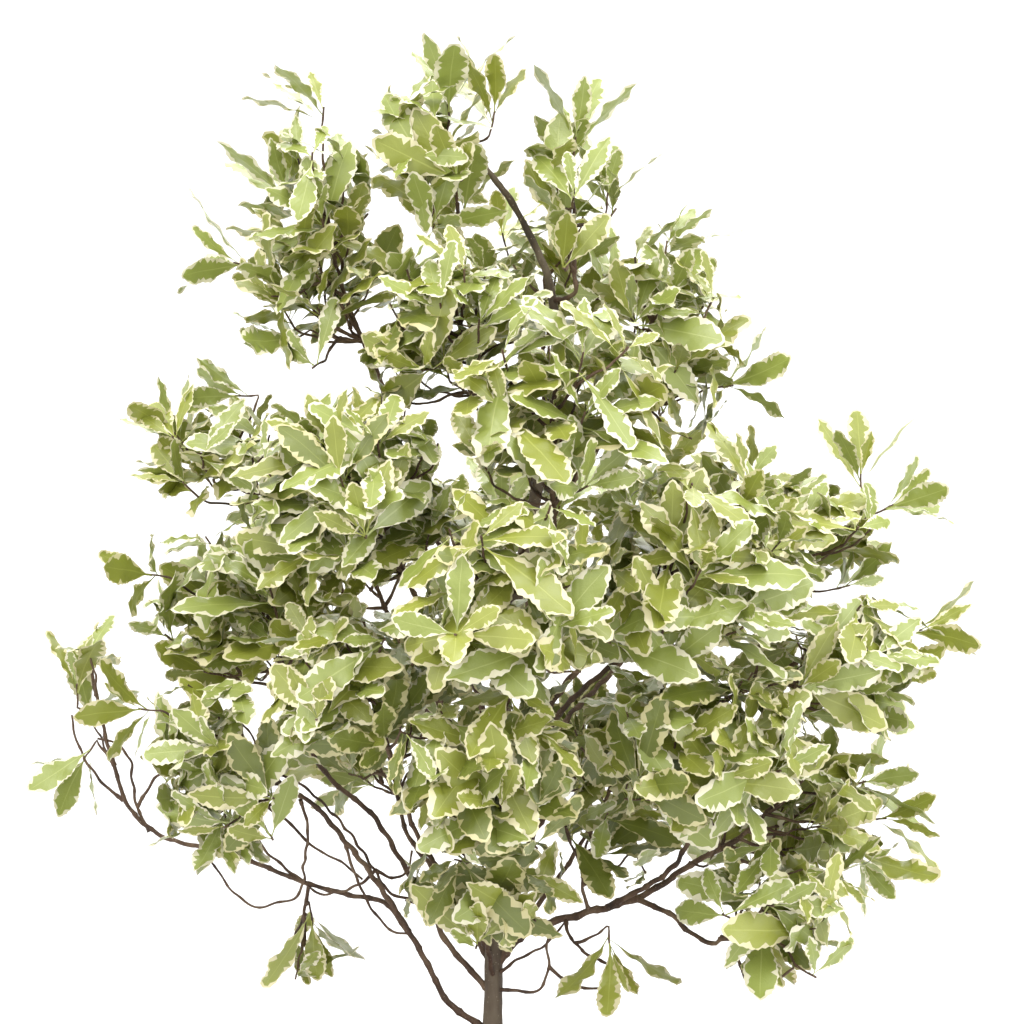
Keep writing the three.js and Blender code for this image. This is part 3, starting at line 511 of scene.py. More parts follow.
@dataclass
class Crown:
    """Every limb, twig and leaf, grown by the seeded rule."""

    # Where a bough gives way to the stem of its mass, and the share past which a via point still counts
    entry_depth: float = 0.72
    via_depth: float = 0.82
    bough_step: float = 28.0
    bough_tip_share: float = 0.6
    stem_tip: float = 1.2
    stem_thinnest: float = 1.6
    stem_steps: int = 3
    stem_rise: float = 0.3
    stem_lead: float = 0.6
    finer: int = 8
    # Twigs
    twig_root: float = 1.25
    twig_tip: float = 0.75
    twig_steps: int = 6
    leafy: float = 15.0
    sag: float = 0.18
    # Shoots
    nearest: float = 0.3
    spread: float = 0.62
    chance: float = 0.1
    leaf_room: float = 30.0
    low_room: float = 6.0
    least_room: float = 6.0
    lowest: float = 0.12
    root_spread: float = 0.8
    forks: int = 9
    fork_step: float = 0.05
    fork_turn: float = 0.75
    own_way: float = 0.5
    out_of_mass: float = 0.35
    out_of_crown: float = 0.45
    rounds: int = 6
    apart: float = 24.0
    near: float = 20.0
    # Leaders
    leader_sag: float = 0.12
    leader_steps: int = 9
    leader_most: int = 5
    leader_open: float = 0.8
    # Side twigs of a shoot
    side_tried: int = 3
    side_most: int = 1
    side_lowest: float = 0.35
    side_spread: float = 0.4
    side_shortest: float = 16.0
    side_longest: float = 30.0
    side_turn: float = 1.1
    side_out: float = 0.6
    side_lift: float = 0.2
    side_tip_lift: float = 0.35
    side_steps: int = 3
    # Tints: where the crown is gloomy and gets the darker SHADE tint as painted shade, and the chance of
    # each
    gloom_at: Point = (8, 0, 375)
    gloom_reach: Point = (165, 300, 135)
    shady: float = 0.08
    gloomy: float = 1.1
    sage: float = 0.58
    meadow: float = 0.3
    odd: float = 0.2
    # Bare twigs
    bare_root: float = 1.2
    bare_tip: float = 0.85
    bare_steps: int = 6
    # Leaves
    leaf_length: float = 48.0
    leaf_width: float = 17.5
    leaf_widest: float = 0.6
    tried: int = 17
    most: int = 8
    fewest: int = 3
    first: float = 1.5
    pitch: float = 1.75
    open: float = 0.42
    open_step: float = 0.095
    open_chance: float = 0.36
    smallest: float = 0.86
    size_chance: float = 0.42
    young: tuple[float, ...] = (0.62, 0.8, 0.92)
    kinds: int = 6
    upright: float = 0.95

    limbs: dict[str, Limb] = field(default_factory=dict)
    twigs: list[Limb] = field(default_factory=list)
    leaves: list[Leaf] = field(default_factory=list)
    tips: list[Array] = field(default_factory=list)

    def __post_init__(self) -> None:
        """Gathers the middles and sizes of the masses."""
        self.middles = np.array([mass.middle for mass in MASSES])
        self.sizes = np.array([mass.size for mass in MASSES])
        self.outline = np.array(OUTLINE[::-1], dtype=float).T

    def in_outline(self, points: Array) -> bool:
        """Tells whether points lie inside the crown's outline.

        Args:
            points: One row for each point.

        Returns:
            True if every point does.
        """
        height, left, right, deep = self.outline
        z = points[:, 2]
        west = np.interp(z, height, left)
        east = np.interp(z, height, right)
        depth = np.interp(z, height, deep)
        across = np.abs(points[:, 0] - (west + east) / 2) / ((east - west) / 2)
        away = np.abs(points[:, 1]) / depth
        round_sum = across**OUTLINE_POWER + away**OUTLINE_POWER
        return bool(np.all(round_sum <= 1) and z.max() <= height[-1])

    def inside(self, index: int, points: Array, leading: bool = False) -> bool:
        """Tells whether points keep to the space of a mass.

        Args:
            index: Which mass.
            points: One row for each point.
            leading: Whether they belong to a leader, which only keeps out of the other masses.

        Returns:
            True if every point is inside.
        """
        mass = MASSES[index]
        out = np.any(np.linalg.norm((points - mass.middle) / mass.half, axis=1) > 1)
        if not leading and (out or not self.in_outline(points)):
            return False
        gaps = points[:, None, :] - self.middles[None]
        power = (gaps**2).sum(axis=2) - self.sizes**2
        apart = 2 * np.linalg.norm(self.middles - mass.middle, axis=1)
        others = np.arange(len(MASSES)) != index
        excess = (power[:, others] - power[:, [index]]) / apart[others]
        return bool(np.all(excess > SPACE_GAP))

    def touches(self, spots: Array, obstacles: Array) -> bool:
        """Tells whether a twig touches any obstacle.

        Args:
            spots: The twig's spots.
            obstacles: The spots of the limbs.

        Returns:
            True if any two spots are too close.
        """
        gaps = spots[:, None, :3] - obstacles[None, :, :3]
        room = spots[:, None, 3] + obstacles[None, :, 3] + LIMB_GAP
        return bool(np.any((gaps**2).sum(axis=2) < room**2))

    def leaf_touches(self, root: Array, basis: Array, size: float, obstacles: Array) -> bool:
        """Tells whether a leaf crosses a limb.

        Args:
            root: The leaf's root.
            basis: Its across, along and upper directions, as columns.
            size: Its share of the usual size.
            obstacles: The spots of the limbs.

        Returns:
            True if a limb's spot lies inside the leaf's outline, grown by the limb's radius.
        """
        local = (obstacles[:, :3] - root) @ basis
        room = obstacles[:, 3] + LIMB_GAP
        length = self.leaf_length * size
        widest = length * self.leaf_widest
        flat = np.abs(local[:, 2]) < room
        inside = (local[:, 1] > -room) & (local[:, 1] < length + room)
        rise = local[:, 1] / widest
        fall = (length - local[:, 1]) / (length - widest)
        share = np.clip(np.where(local[:, 1] < widest, rise, fall), 0, None)
        wide = np.abs(local[:, 0]) < self.leaf_width / 2 * size * share + room
        return bool(np.any(flat & inside & wide))

    def bough(self, mass: Mass) -> None:
        """Grows the bough of a mass and notes where its stem starts.

        Args:
            mass: The mass that it carries.
        """
        parent = self.limbs[mass.parent]
        if mass.leaves_at == 1:
            mass.start = parent.line[-1].copy()
            mass.heading = unit(parent.line[-1] - parent.line[-2])
            mass.stem_radius = float(parent.radii[-1])
            return
        root = parent.along(mass.leaves_at)
        if mass.direct:
            i = int(mass.leaves_at * (len(parent.line) - 1))
            along = unit(parent.line[i + 1] - parent.line[i])
            towards = mass.middle - root
            mass.heading = unit(towards - along * np.dot(towards, along))
            mass.start = root + mass.heading * parent.radii[i]
            mass.stem_radius = self.stem_tip
            return
        via = [vec(*p) for p in mass.via if mass.depth(vec(*p)) > self.via_depth]
        outside = via[-1] if via else root
        share = min(1.0, self.entry_depth / mass.depth(outside))
        entry = mass.middle + (outside - mass.middle) * share
        points = [root, *via, entry]
        length = sum(np.linalg.norm(b - a) for a, b in zip(points, points[1:]))
        steps = max(2, int(length / self.bough_step + 0.5))
        line = curve_line(points, steps)
        tip = max(self.stem_thinnest, mass.thick * self.bough_tip_share)
        fine = curve_line(points, steps * self.finer)
        radii = np.linspace(mass.thick, tip, len(line))
        fine_radii = np.linspace(mass.thick, tip, len(fine))
        name = f"{mass.name}_bough"
        self.limbs[name] = Limb(name, line, radii, fine, fine_radii)
        mass.start = line[-1].copy()
        mass.heading = unit(line[-1] - line[-2])
        mass.stem_radius = tip

    def stem(self, mass: Mass) -> Limb:
        """Grows the stem of a mass, which carries on from its bough and bends up through the middle.

        Args:
            mass: The mass.

        Returns:
            The stem.
        """
        start = mass.start + mass.heading * GAP
        crown = mass.middle + UP * mass.half[2] * math.copysign(self.stem_rise, mass.lift)
        lead = start + mass.heading * np.linalg.norm(mass.middle - start) * self.stem_lead
        line = arc_line(start, lead, crown, self.stem_steps)
        line = np.insert(line, 1, start + mass.heading * mass.stem_radius, axis=0)
        radii = np.linspace(mass.stem_radius, self.stem_tip, len(line))
        fine = arc_line(mass.start, lead, crown, self.stem_steps * self.finer)
        fine_radii = np.linspace(mass.stem_radius, self.stem_tip, len(fine))
        return Limb(f"{mass.name}_stem", line, radii, fine, fine_radii)

    def shoot_place(self, mass: Mass, k: int, random: SeededStream) -> Array:
        """Finds the place where a shoot ends.

        Args:
            mass: Its mass.
            k: Its number.
            random: Its draws.

        Returns:
            The place.
        """
        even = [(0.5 + step * (k + 1)) % 1 for step in EVEN_STEPS]
        height = 1 - 2 * even[0]
        turn = 2 * math.pi * even[1] + mass.turn
        out = self.nearest + self.spread * even[2] + self.chance * random.draw()
        flat = math.sqrt(1 - height * height)
        room = vec(self.leaf_room, self.leaf_room, self.leaf_room if height > 0 else self.low_room)
        inner = np.maximum(mass.half - room, self.least_room)
        return vec(flat * math.cos(turn), flat * math.sin(turn), height) * inner * out + mass.middle

    def fork(self, stem: Limb, tip: Array) -> Array:
        """Finds where a shoot leaves its stem at the most natural angle.

        Args:
            stem: The stem.
            tip: Where the shoot ends.

        Returns:
            The point on the stem.
        """
        best = None
        for i in range(self.forks):
            share = self.lowest + self.root_spread * i / (self.forks - 1)
            root = stem.along(share)
            along = unit(stem.along(share + self.fork_step) - root)
            off = abs(np.dot(unit(tip - root), along) - self.fork_turn)
            if best is None or off < best[0]:
                best = (off, root)
        return best[1]

    def shoot(self, mass: Mass, stem: Limb, k: int) -> Sprig:
        """Grows a shoot, before it is known whether it has room.

        Args:
            mass: Its mass.
            stem: The stem that it leaves.
            k: Its number.

        Returns:
            The shoot.
        """
        random = SeededStream(f"{mass.name}-{k}")
        tip = self.shoot_place(mass, k, random)
        root = self.fork(stem, tip)
        away = tip - root
        bend = root + away * 0.5 - UP * self.sag * np.linalg.norm(away)
        line = arc_line(root, bend, tip, self.twig_steps)
        aim = unit(
            unit(away) * self.own_way
            + unit(tip - mass.middle) * self.out_of_mass
            + unit(mass.middle - CROWN_MIDDLE) * self.out_of_crown
            + UP * mass.lift
        )
        return self.sprig(line, aim, random)

    def leader(self, mass: Mass, stem: Limb, number: int) -> Sprig:
        """Grows a leader: a long shoot to a point that the photograph shows.

        Args:
            mass: Its mass.
            stem: The stem that it leaves.
            number: Its number.

        Returns:
            The leader.
        """
        share, tip, aim = (np.array(part, dtype=float) for part in mass.leaders[number])
        root = stem.along(float(share))
        away = tip - root
        bend = root + away * 0.5 - UP * self.leader_sag * np.linalg.norm(away)
        line = arc_line(root, bend, tip, self.leader_steps)
        sprig = self.sprig(line, unit(aim), SeededStream(f"{mass.name}-leader-{number}"))
        sprig.leading = True
        return sprig

    def sprig(self, line: Array, aim: Array, random: SeededStream) -> Sprig:
        """Sets a leafy end on a line.

        Args:
            line: The twig's line.
            aim: The direction of its leafy end.
            random: Its draws.

        Returns:
            The twig.
        """
        line = np.vstack([line, line[-1] + aim * self.leafy])
        radii = np.linspace(self.twig_root, self.twig_tip, len(line))
        spots = dense_spots(line, radii)[ROOT_SPOTS:]
        return Sprig(line, radii, aim, random, spots)

    def side_sprig(self, mass: Mass, shoot: Sprig, name: str) -> Sprig:
        """Grows a side twig, before it is known whether it has room.

        Args:
            mass: Its mass.
            shoot: The shoot that it leaves.
            name: The text that sets its draws.

        Returns:
            The side twig.
        """
        random = SeededStream(name)
        share = self.side_lowest + self.side_spread * random.draw()
        i = int(share * (len(shoot.line) - 2))
        root = shoot.line[i] + (shoot.line[i + 1] - shoot.line[i]) * random.draw()
        along = unit(shoot.line[i + 1] - shoot.line[i])
        side = unit(np.cross(along, UP + vec(0.01, 0, 0)))
        side = spin(side, along, 2 * math.pi * random.draw())
        out = unit(root - mass.middle)
        heading = unit(along + side * self.side_turn + out * self.side_out + UP * self.side_lift)
        length = random.between(self.side_shortest, self.side_longest)
        bend = root + (along * 0.5 + heading * 0.5) * length * 0.5
        tip = root + heading * length
        aim = unit(heading + UP * self.side_tip_lift)
        return self.sprig(arc_line(root, bend, tip, self.side_steps), aim, random)

    def leaf_basis(self, aim: Array, turn: float, opening: float) -> Array:
        """Works out how a leaf lies.

        Args:
            aim: The direction of its twig.
            turn: Its turn about the twig.
            opening: Its angle to the twig.

        Returns:
            Its across, along and upper directions, as columns.
        """
        helper = UP if abs(aim[2]) < self.upright else vec(1, 0, 0)
        side = spin(unit(np.cross(helper, aim)), aim, turn)
        along = aim * math.cos(opening) + side * math.sin(opening)
        upper = unit(aim - along * np.dot(aim, along))
        across = unit(np.cross(along, upper))
        return np.column_stack([across, along, upper])

    def grow_leaves(self, index: int, sprig: Sprig, obstacles: Array, tint: Tint) -> list[Leaf]:
        """Grows the spray of leaves at the end of a twig.

        Args:
            index: Which mass the twig belongs to.
            sprig: The twig.
            obstacles: The spots of the limbs near it.
            tint: The tint of most of the spray.

        Returns:
            The leaves that have room.
        """
        leaves = []
        random = sprig.random
        looks = SeededStream(f"looks-{sprig.line[-1][0]:.2f}-{sprig.line[-1][2]:.2f}")
        phase = 2 * math.pi * random.draw()
        for j in range(self.tried):
            if len(leaves) >= (self.leader_most if sprig.leading else self.most):
                break
            count = len(leaves)
            root = sprig.line[-1] - sprig.aim * (self.first + self.pitch * count)
            opening = self.open + self.open_step * j + self.open_chance * (random.draw() - 0.5)
            opening *= self.leader_open if sprig.leading else 1
            size = self.smallest + self.size_chance * random.draw()
            size *= self.young[count] if count < len(self.young) else 1
            basis = self.leaf_basis(sprig.aim, phase + j * GOLDEN_ANGLE, opening)
            half = self.leaf_width / 2
            broad = self.leaf_length * self.leaf_widest
            corners = np.array([[0, self.leaf_length, 0], [-half, broad, 0], [half, broad, 0]])
            if not self.inside(index, root + corners @ basis.T * size, sprig.leading):
                continue
            if self.leaf_touches(root, basis, size, obstacles):
                continue
            kind = int(looks.draw() * self.kinds)
            own = tint if looks.draw() > self.odd else Tint(int(looks.draw() * 2))
            leaves.append(Leaf(root, basis, size, kind, own, MASSES[index].region))
        return leaves

    def gloom(self, place: Array) -> float:
        """Returns how deep in the shady low middle of the crown a place is, from 0 to 1, which sets how much
        painted shade its sprays get.
        """
        away = (place - vec(*self.gloom_at)) / vec(*self.gloom_reach)
        return max(0.0, 1 - float(np.linalg.norm(away)))

    def spray_tint(self, end: Array) -> Tint:
        """Draws the tint of a spray by where its tip is, with the darker SHADE tint as painted shade in the
        gloomy low middle.

        Args:
            end: The tip.

        Returns:
            The tint.
        """
        value = SeededStream(f"tint-{end[0]:.2f}-{end[2]:.2f}").draw()
        # The chance of painted shade: a little everywhere, far more deep in the shady low middle
        shade = self.shady + self.gloomy * self.gloom(end)
        if value < shade:
            return Tint.SHADE
        rest = (value - shade) / (1 - shade)
        if rest < self.sage:
            return Tint.SAGE
        return Tint.MEADOW if rest < self.sage + self.meadow else Tint.FRESH

    def keep(self, index: int, sprig: Sprig, obstacles: Array) -> bool:
        """Keeps a twig and its leaves if they have room.

        Args:
            index: Which mass the twig belongs to.
            sprig: The twig.
            obstacles: The spots that neither may touch.

        Returns:
            True if the twig was kept.
        """
        if not self.inside(index, sprig.spots[:, :3], sprig.leading):
            return False
        end = sprig.line[-1]
        if any(np.linalg.norm(end - other) < self.apart for other in self.tips):
            return False
        added = self.grow_leaves(index, sprig, obstacles, self.spray_tint(end))
        if len(added) < self.fewest:
            return False
        self.leaves.extend(added)
        self.tips.append(end)
        self.twigs.append(Limb("twig", sprig.line, sprig.radii, sprig.line, sprig.radii))
        return True

    def foliage(self, index: int, stem: Limb, limb_spots: Array) -> None:
        """Grows the twigs and leaves of one mass.

        Args:
            index: Which mass.
            stem: Its stem.
            limb_spots: The spots of every other limb.
        """
        mass = MASSES[index]
        near = np.linalg.norm(limb_spots[:, :3] - mass.middle, axis=1) < mass.half.max() + self.near
        limb_spots = limb_spots[near]
        kept = []
        stem_spots = stem.spots()
        for number in range(len(mass.leaders)):
            sprig = self.leader(mass, stem, number)
            clear = not (len(limb_spots) and self.touches(sprig.spots, limb_spots))
            if clear and self.keep(index, sprig, np.vstack([limb_spots, stem_spots])):
                kept.append(sprig)
            else:
                LOG.info("%s: leader %d has no room", mass.name, number)
        mass_sprays = mass.sprays + len(kept)
        for k in range(mass.sprays * self.rounds):
            if len(kept) >= mass_sprays:
                break
            sprig = self.shoot(mass, stem, k)
            if len(limb_spots) and self.touches(sprig.spots, limb_spots):
                continue
            obstacles = np.vstack([limb_spots, stem_spots, *[other.spots for other in kept]])
            if not self.keep(index, sprig, obstacles):
                continue
            kept.append(sprig)
            added = 0
            for i in range(self.side_tried):
                if added >= self.side_most:
                    break
                side = self.side_sprig(mass, sprig, f"{mass.name}-{k}-side-{i}")
                obstacles = np.vstack([limb_spots, stem_spots, *[other.spots for other in kept[:-1]]])
                if self.touches(side.spots[ROOT_SPOTS:], obstacles):
                    continue
                if self.keep(index, side, np.vstack([obstacles, sprig.spots])):
                    added += 1

    def bare_twig(self, places: tuple[Point, ...]) -> Limb:
        """Draws a bare twig.

        Args:
            places: What it passes through.

        Returns:
            The twig.
        """
        points = [vec(*place) for place in places]
        line = curve_line(points, (len(points) - 1) * self.bare_steps)
        radii = np.linspace(self.bare_root, self.bare_tip, len(line))
        return Limb("bare_twig", line, radii, line, radii)

    def grow(self) -> None:
        """Grows the whole plant."""
        self.limbs["trunk"] = Trunk().limb()
        for mass in sorted(MASSES, key=lambda m: m.parent != "trunk"):
            self.bough(mass)
        stems = [self.stem(mass) for mass in MASSES]
        for index in range(len(MASSES)):
            others = [stem for i, stem in enumerate(stems) if i != index]
            spots = np.vstack([limb.spots() for limb in [*self.limbs.values(), *others]])
            self.foliage(index, stems[index], spots)
        self.twigs.extend(stems)
        self.twigs.extend(self.bare_twig(places) for places in BARE_TWIGS)


# Node trees


class NodeBench:
    """Nodes that are set out one by one in a tree."""

    def __init__(self, tree: bpy.types.NodeTree) -> None:
        """Starts with a tree and no named inputs.

        Args:
            tree: The tree.
        """
        self.tree = tree
        self.entry = None
        self.keys = {}

    def add(self, kind: str, **settings: object) -> bpy.types.Node:
        """Adds a node and applies its settings.

        Args:
            kind: The node's type.
            **settings: Its settings.

        Returns:
            The node.
        """
        node = self.tree.nodes.new(kind)
        for key, value in settings.items():
            setattr(node, key, value)
        return node

    def link(self, source: Socket, target: Socket) -> None:
        """Links two sockets."""
        self.tree.links.new(source, target)

    def give(self, socket: Socket, value: object) -> None:
        """Gives an input a plain value, a socket or a named input of the tree.

        Args:
            socket: The input.
            value: What it gets.
        """
        if isinstance(value, str) and value in self.keys:
            self.link(self.entry.outputs[value], socket)
        elif isinstance(value, Socket):
            self.link(value, socket)
        else:
            socket.default_value = value

    def feed(self, node: bpy.types.Node, **inputs: object) -> None:
        """Gives a node's open inputs their values.

        Args:
            node: The node.
            **inputs: The value of each, by name or identifier, with _ for a space.
        """
        for label, value in inputs.items():
            names = {label, label.replace("_", " ")}
            self.give(next(s for s in node.inputs if s.enabled and names & {s.name, s.identifier}), value)

    def out(self, node: bpy.types.Node) -> Socket:
        """Returns a node's first open output."""
        return next(s for s in node.outputs if s.enabled)

    def math(self, operation: str, first: object, second: object = 0.0) -> Socket:
        """Works out a sum of two values.

        Args:
            operation: The kind of sum.
            first: A socket or a number.
            second: Another, where the sum has one.

        Returns:
            The socket of the result.
        """
        node = self.add("ShaderNodeMath", operation=operation)
        for socket, value in zip(node.inputs, (first, second)):
            self.give(socket, value)
        return self.out(node)

    def split(self, vector: Socket) -> bpy.types.NodeOutputs:
        """Splits a vector.

        Args:
            vector: Its socket.

        Returns:
            The outputs X, Y and Z.
        """
        node = self.add("ShaderNodeSeparateXYZ")
        self.feed(node, Vector=vector)
        return node.outputs

    def noise(self, where: object, scale: object, detail: float = 3.0, part: str = "Fac") -> Socket:
        """Returns noise read at a place.

        Args:
            where: The coordinates that it is read at.
            scale: How many of its features there are in a metre.
            detail: How many finer layers it has.
            part: Fac for one value, Color for three.

        Returns:
            The socket of the noise.
        """
        node = self.add("ShaderNodeTexNoise")
        self.feed(node, Vector=where, Scale=scale, Detail=detail)
        return node.outputs[part]


class ShaderBench(NodeBench):
    """A material whose nodes are set out one by one."""

    def __init__(self, name: str) -> None:
        """Starts a material with a bare shader.

        Args:
            name: The material's name.
        """
        self.material = bpy.data.materials.new(name)
        self.material.use_nodes = True
        super().__init__(self.material.node_tree)
        self.tree.nodes.clear()
        self.shader = self.add("ShaderNodeBsdfPrincipled")
        output = self.add("ShaderNodeOutputMaterial")
        self.link(self.shader.outputs["BSDF"], output.inputs["Surface"])

    def place(self, stretch: Point = (1, 1, 1)) -> Socket:
        """Reads the object's own coordinates.

        Args:
            stretch: What each is multiplied by.

        Returns:
            Their socket.
        """
        mapping = self.add("ShaderNodeMapping")
        self.feed(mapping, Vector=self.add("ShaderNodeTexCoord").outputs["Object"], Scale=stretch)
        return mapping.outputs["Vector"]

    def cells(self, where: Socket, scale: float, feature: str = "F1") -> Socket:
        """Reads a cell pattern.

        Args:
            where: The coordinates that it is read at.
            scale: How many cells there are in a metre.
            feature: Which distance it gives.

        Returns:
            The socket of the distance.
        """
        node = self.add("ShaderNodeTexVoronoi", feature=feature)
        self.feed(node, Vector=where, Scale=scale)
        return node.outputs["Distance"]

    def spread(self, value: Socket, low: float, high: float) -> Socket:
        """Spreads the middle of a noise over a range.

        Args:
            value: The noise.
            low: The least result.
            high: The greatest.

        Returns:
            The socket of the result.
        """
        node = self.add("ShaderNodeMapRange")
        self.feed(node, Value=value, From_Min=0.3, From_Max=0.7, To_Min=low, To_Max=high)
        return node.outputs["Result"]

    def ramp(self, value: Socket, stops: list[tuple[float, str]]) -> Socket:
        """Turns a value into colours.

        Args:
            value: The value to read.
            stops: The place and the colour of each stop.

        Returns:
            The socket of the colour.
        """
        node = self.add("ShaderNodeValToRGB")
        elements = node.color_ramp.elements
        while len(elements) < len(stops):
            elements.new(0.5)
        for element, (position, colour) in zip(elements, stops):
            element.position = position
            element.color = (*linear(colour), 1)
        self.feed(node, Fac=value)
        return node.outputs["Color"]

    def mix(self, share: Socket, first: Socket, second: Socket) -> Socket:
        """Mixes two colours.

        Args:
            share: The second one's share.
            first: The first.
            second: The second.

        Returns:
            The socket of the colour.
        """
        node = self.add("ShaderNodeMix", data_type="RGBA")
        self.feed(node, Factor=share, A=first, B=second)
        return self.out(node)

    def bump(self, height: Socket, strength: float, distance: float) -> None:
        """Presses a height into the surface.

        Args:
            height: The socket of the height.
            strength: How much of it shows.
            distance: How deep it is, in metres.
        """
        node = self.add("ShaderNodeBump")
        self.feed(node, Height=height, Strength=strength, Distance=distance)
        self.feed(self.shader, Normal=node.outputs["Normal"])


def linear(colour: str) -> tuple[float, float, float]:
    """Turns a colour written as six hex digits into linear values."""
    values = [int(colour[i : i + 2], 16) / 255 for i in (0, 2, 4)]
    return tuple(v / 12.92 if v <= 0.04045 else ((v + 0.055) / 1.055) ** 2.4 for v in values)


@dataclass(frozen=True)
class LeafFinish:
    """Leathery leaf skin: one plain colour, a soft uneven gloss and faint slanting veins."""

    name: str
    colour: str
    smooth: float = 0.32
    rough: float = 0.46
    gloss: float = 0.8
    wax: float = 0.25
    vein_count: float = 8.0
    vein_slant: float = 1.5
    vein_share: float = 0.8
    patch: float = 140.0
    grain: float = 900.0
    relief: float = 0.28
    depth: float = 0.0005

    def material(self) -> Material:
        """Makes the material.

        Returns:
            The material.
        """
        bench = ShaderBench(self.name)
        where = bench.place()
        patches = bench.noise(where, self.patch, detail=2)
        bench.feed(bench.shader, Base_Color=(*linear(self.colour), 1), Specular_IOR_Level=self.gloss,
                   Coat_Weight=self.wax, Coat_Roughness=self.rough,
                   Roughness=bench.spread(patches, self.smooth, self.rough))
        flat = bench.split(bench.add("ShaderNodeUVMap", uv_map="leaf").outputs["UV"])
        out = bench.math("ABSOLUTE", bench.math("SUBTRACT", flat["X"], 0.5))
        slope = bench.math("MULTIPLY", out, self.vein_slant)
        along = bench.math("MULTIPLY", bench.math("SUBTRACT", flat["Y"], slope), self.vein_count)
        veins = bench.math("MULTIPLY", bench.math("PINGPONG", along, 0.5), self.vein_share)
        height = bench.math("ADD", veins, bench.noise(where, self.grain, detail=2))
        bench.bump(height, self.relief, self.depth)
        return bench.material


@dataclass(frozen=True)
class BarkFinish:
    """Bark: brown to grey in patches, darker in its cracks, with pale breathing pores."""

    name: str
    dark: str
    middle: str
    light: str
    patch: float = 60.0
    stretch: float = 0.35
    depth: float = 0.0006
    relief: float = 0.7
    matt: tuple[float, float] = (0.62, 0.88)
    pore: str = "b9a78f"
    pore_size: float = 0.16
    pore_share: float = 0.55
    # How many pores, grains and cracks there are for each patch
    pores: float = 7.0
    grains: float = 6.0
    cracks: float = 3.5

    def material(self) -> Material:
        """Makes the material.

        Returns:
            The material.
        """
        bench = ShaderBench(self.name)
        where = bench.place((1, 1, self.stretch))
        patches = bench.noise(where, self.patch, detail=5)
        base = bench.ramp(patches, [(0.3, self.dark), (0.5, self.middle), (0.72, self.light)])
        pores = bench.cells(bench.place(), self.patch * self.pores)
        speck = bench.ramp(pores, [(0.08, self.pore), (0.2, "000000")])
        share = bench.math("MULTIPLY", bench.math("LESS_THAN", pores, self.pore_size), self.pore_share)
        bench.feed(bench.shader, Base_Color=bench.mix(share, base, speck),
                   Roughness=bench.spread(patches, *self.matt))
        fine = bench.noise(where, self.patch * self.grains, detail=4)
        cracks = bench.cells(where, self.patch * self.cracks, "DISTANCE_TO_EDGE")
        edge = bench.math("MINIMUM", bench.math("MULTIPLY", cracks, 3.0), 0.5)
        bench.bump(bench.math("ADD", fine, edge), self.relief, self.depth)
        return bench.material


@dataclass(frozen=True)
class ClayFinish:
    """Fired clay: warm brown in soft blotches, a chalky bloom, fine grain and throwing lines."""

    name: str = "fired_clay"
    matt: tuple[float, float] = (0.78, 0.95)
    blotches: float = 14.0
    bloom: float = 46.0
    chalk: float = 22.0
    chalk_from: float = 0.46
    chalk_gain: float = 1.7
    chalk_most: float = 0.55
    lines: float = 1560.0
    line_share: float = 0.12
    grain: float = 700.0
    pits: float = 330.0
    relief: float = 0.5
    depth: float = 0.0006

    def material(self) -> Material:
        """Makes the material.

        Returns:
            The material.
        """
        bench = ShaderBench(self.name)
        where = bench.place()
        blotches = bench.noise(where, self.blotches, detail=5)
        base = bench.ramp(blotches, [(0.32, "8c5036"), (0.5, "9f6044"), (0.7, "ae7656")])
        bloom = bench.noise(where, self.bloom, detail=6)
        bloom = bench.ramp(bloom, [(0.3, "b98a6c"), (0.7, "c9a88d")])
        chalk = bench.noise(bench.place((1, 1, 1.8)), self.chalk, detail=8)
        share = bench.math("MULTIPLY", bench.math("SUBTRACT", chalk, self.chalk_from), self.chalk_gain)
        share = bench.math("MAXIMUM", bench.math("MINIMUM", share, self.chalk_most), 0.0)
        bench.feed(bench.shader, Base_Color=bench.mix(share, base, bloom),
                   Roughness=bench.spread(blotches, *self.matt))
        rings = bench.math("SINE", bench.math("MULTIPLY", bench.split(where)["Z"], self.lines))
        rings = bench.math("MULTIPLY", rings, self.line_share)
        grain = bench.noise(where, self.grain, detail=6)
        pits = bench.math("MINIMUM", bench.math("MULTIPLY", bench.cells(where, self.pits), 2.5), 0.7)
        bench.bump(bench.math("ADD", rings, bench.math("ADD", grain, pits)), self.relief, self.depth)
        return bench.material


@dataclass(frozen=True)
class GritFinish:
    """Loose matter in a pot: soil, bark crumbs or white grit."""

    name: str
    dark: str
    middle: str
    light: str
    scale: float = 160.0
    matt: tuple[float, float] = (0.82, 1.0)
    relief: float = 0.9
    depth: float = 0.0015

    def material(self) -> Material:
        """Makes the material.

        Returns:
            The material.
        """
        bench = ShaderBench(self.name)
        where = bench.place()
        grains = bench.noise(where, self.scale, detail=8)
        stops = [(0.34, self.dark), (0.5, self.middle), (0.68, self.light)]
        bench.feed(bench.shader, Base_Color=bench.ramp(grains, stops),
                   Roughness=bench.spread(grains, *self.matt))
        fine = bench.noise(where, self.scale * 4, detail=6)
        bench.bump(bench.math("ADD", fine, bench.cells(where, self.scale * 2)), self.relief, self.depth)
        return bench.material


@dataclass(frozen=True)
class StudioFinish:
    """The matt white of the studio's sweep."""

    name: str = "studio_white"
    colour: str = "c4c4c4"
    patch: float = 3.0
    matt: tuple[float, float] = (0.85, 0.95)

    def material(self) -> Material:
        """Makes the material.

        Returns:
            The material.
        """
        bench = ShaderBench(self.name)
        patches = bench.noise(bench.place(), self.patch, detail=2)
        bench.feed(bench.shader, Base_Color=(*linear(self.colour), 1),
                   Roughness=bench.spread(patches, *self.matt))
        return bench.material


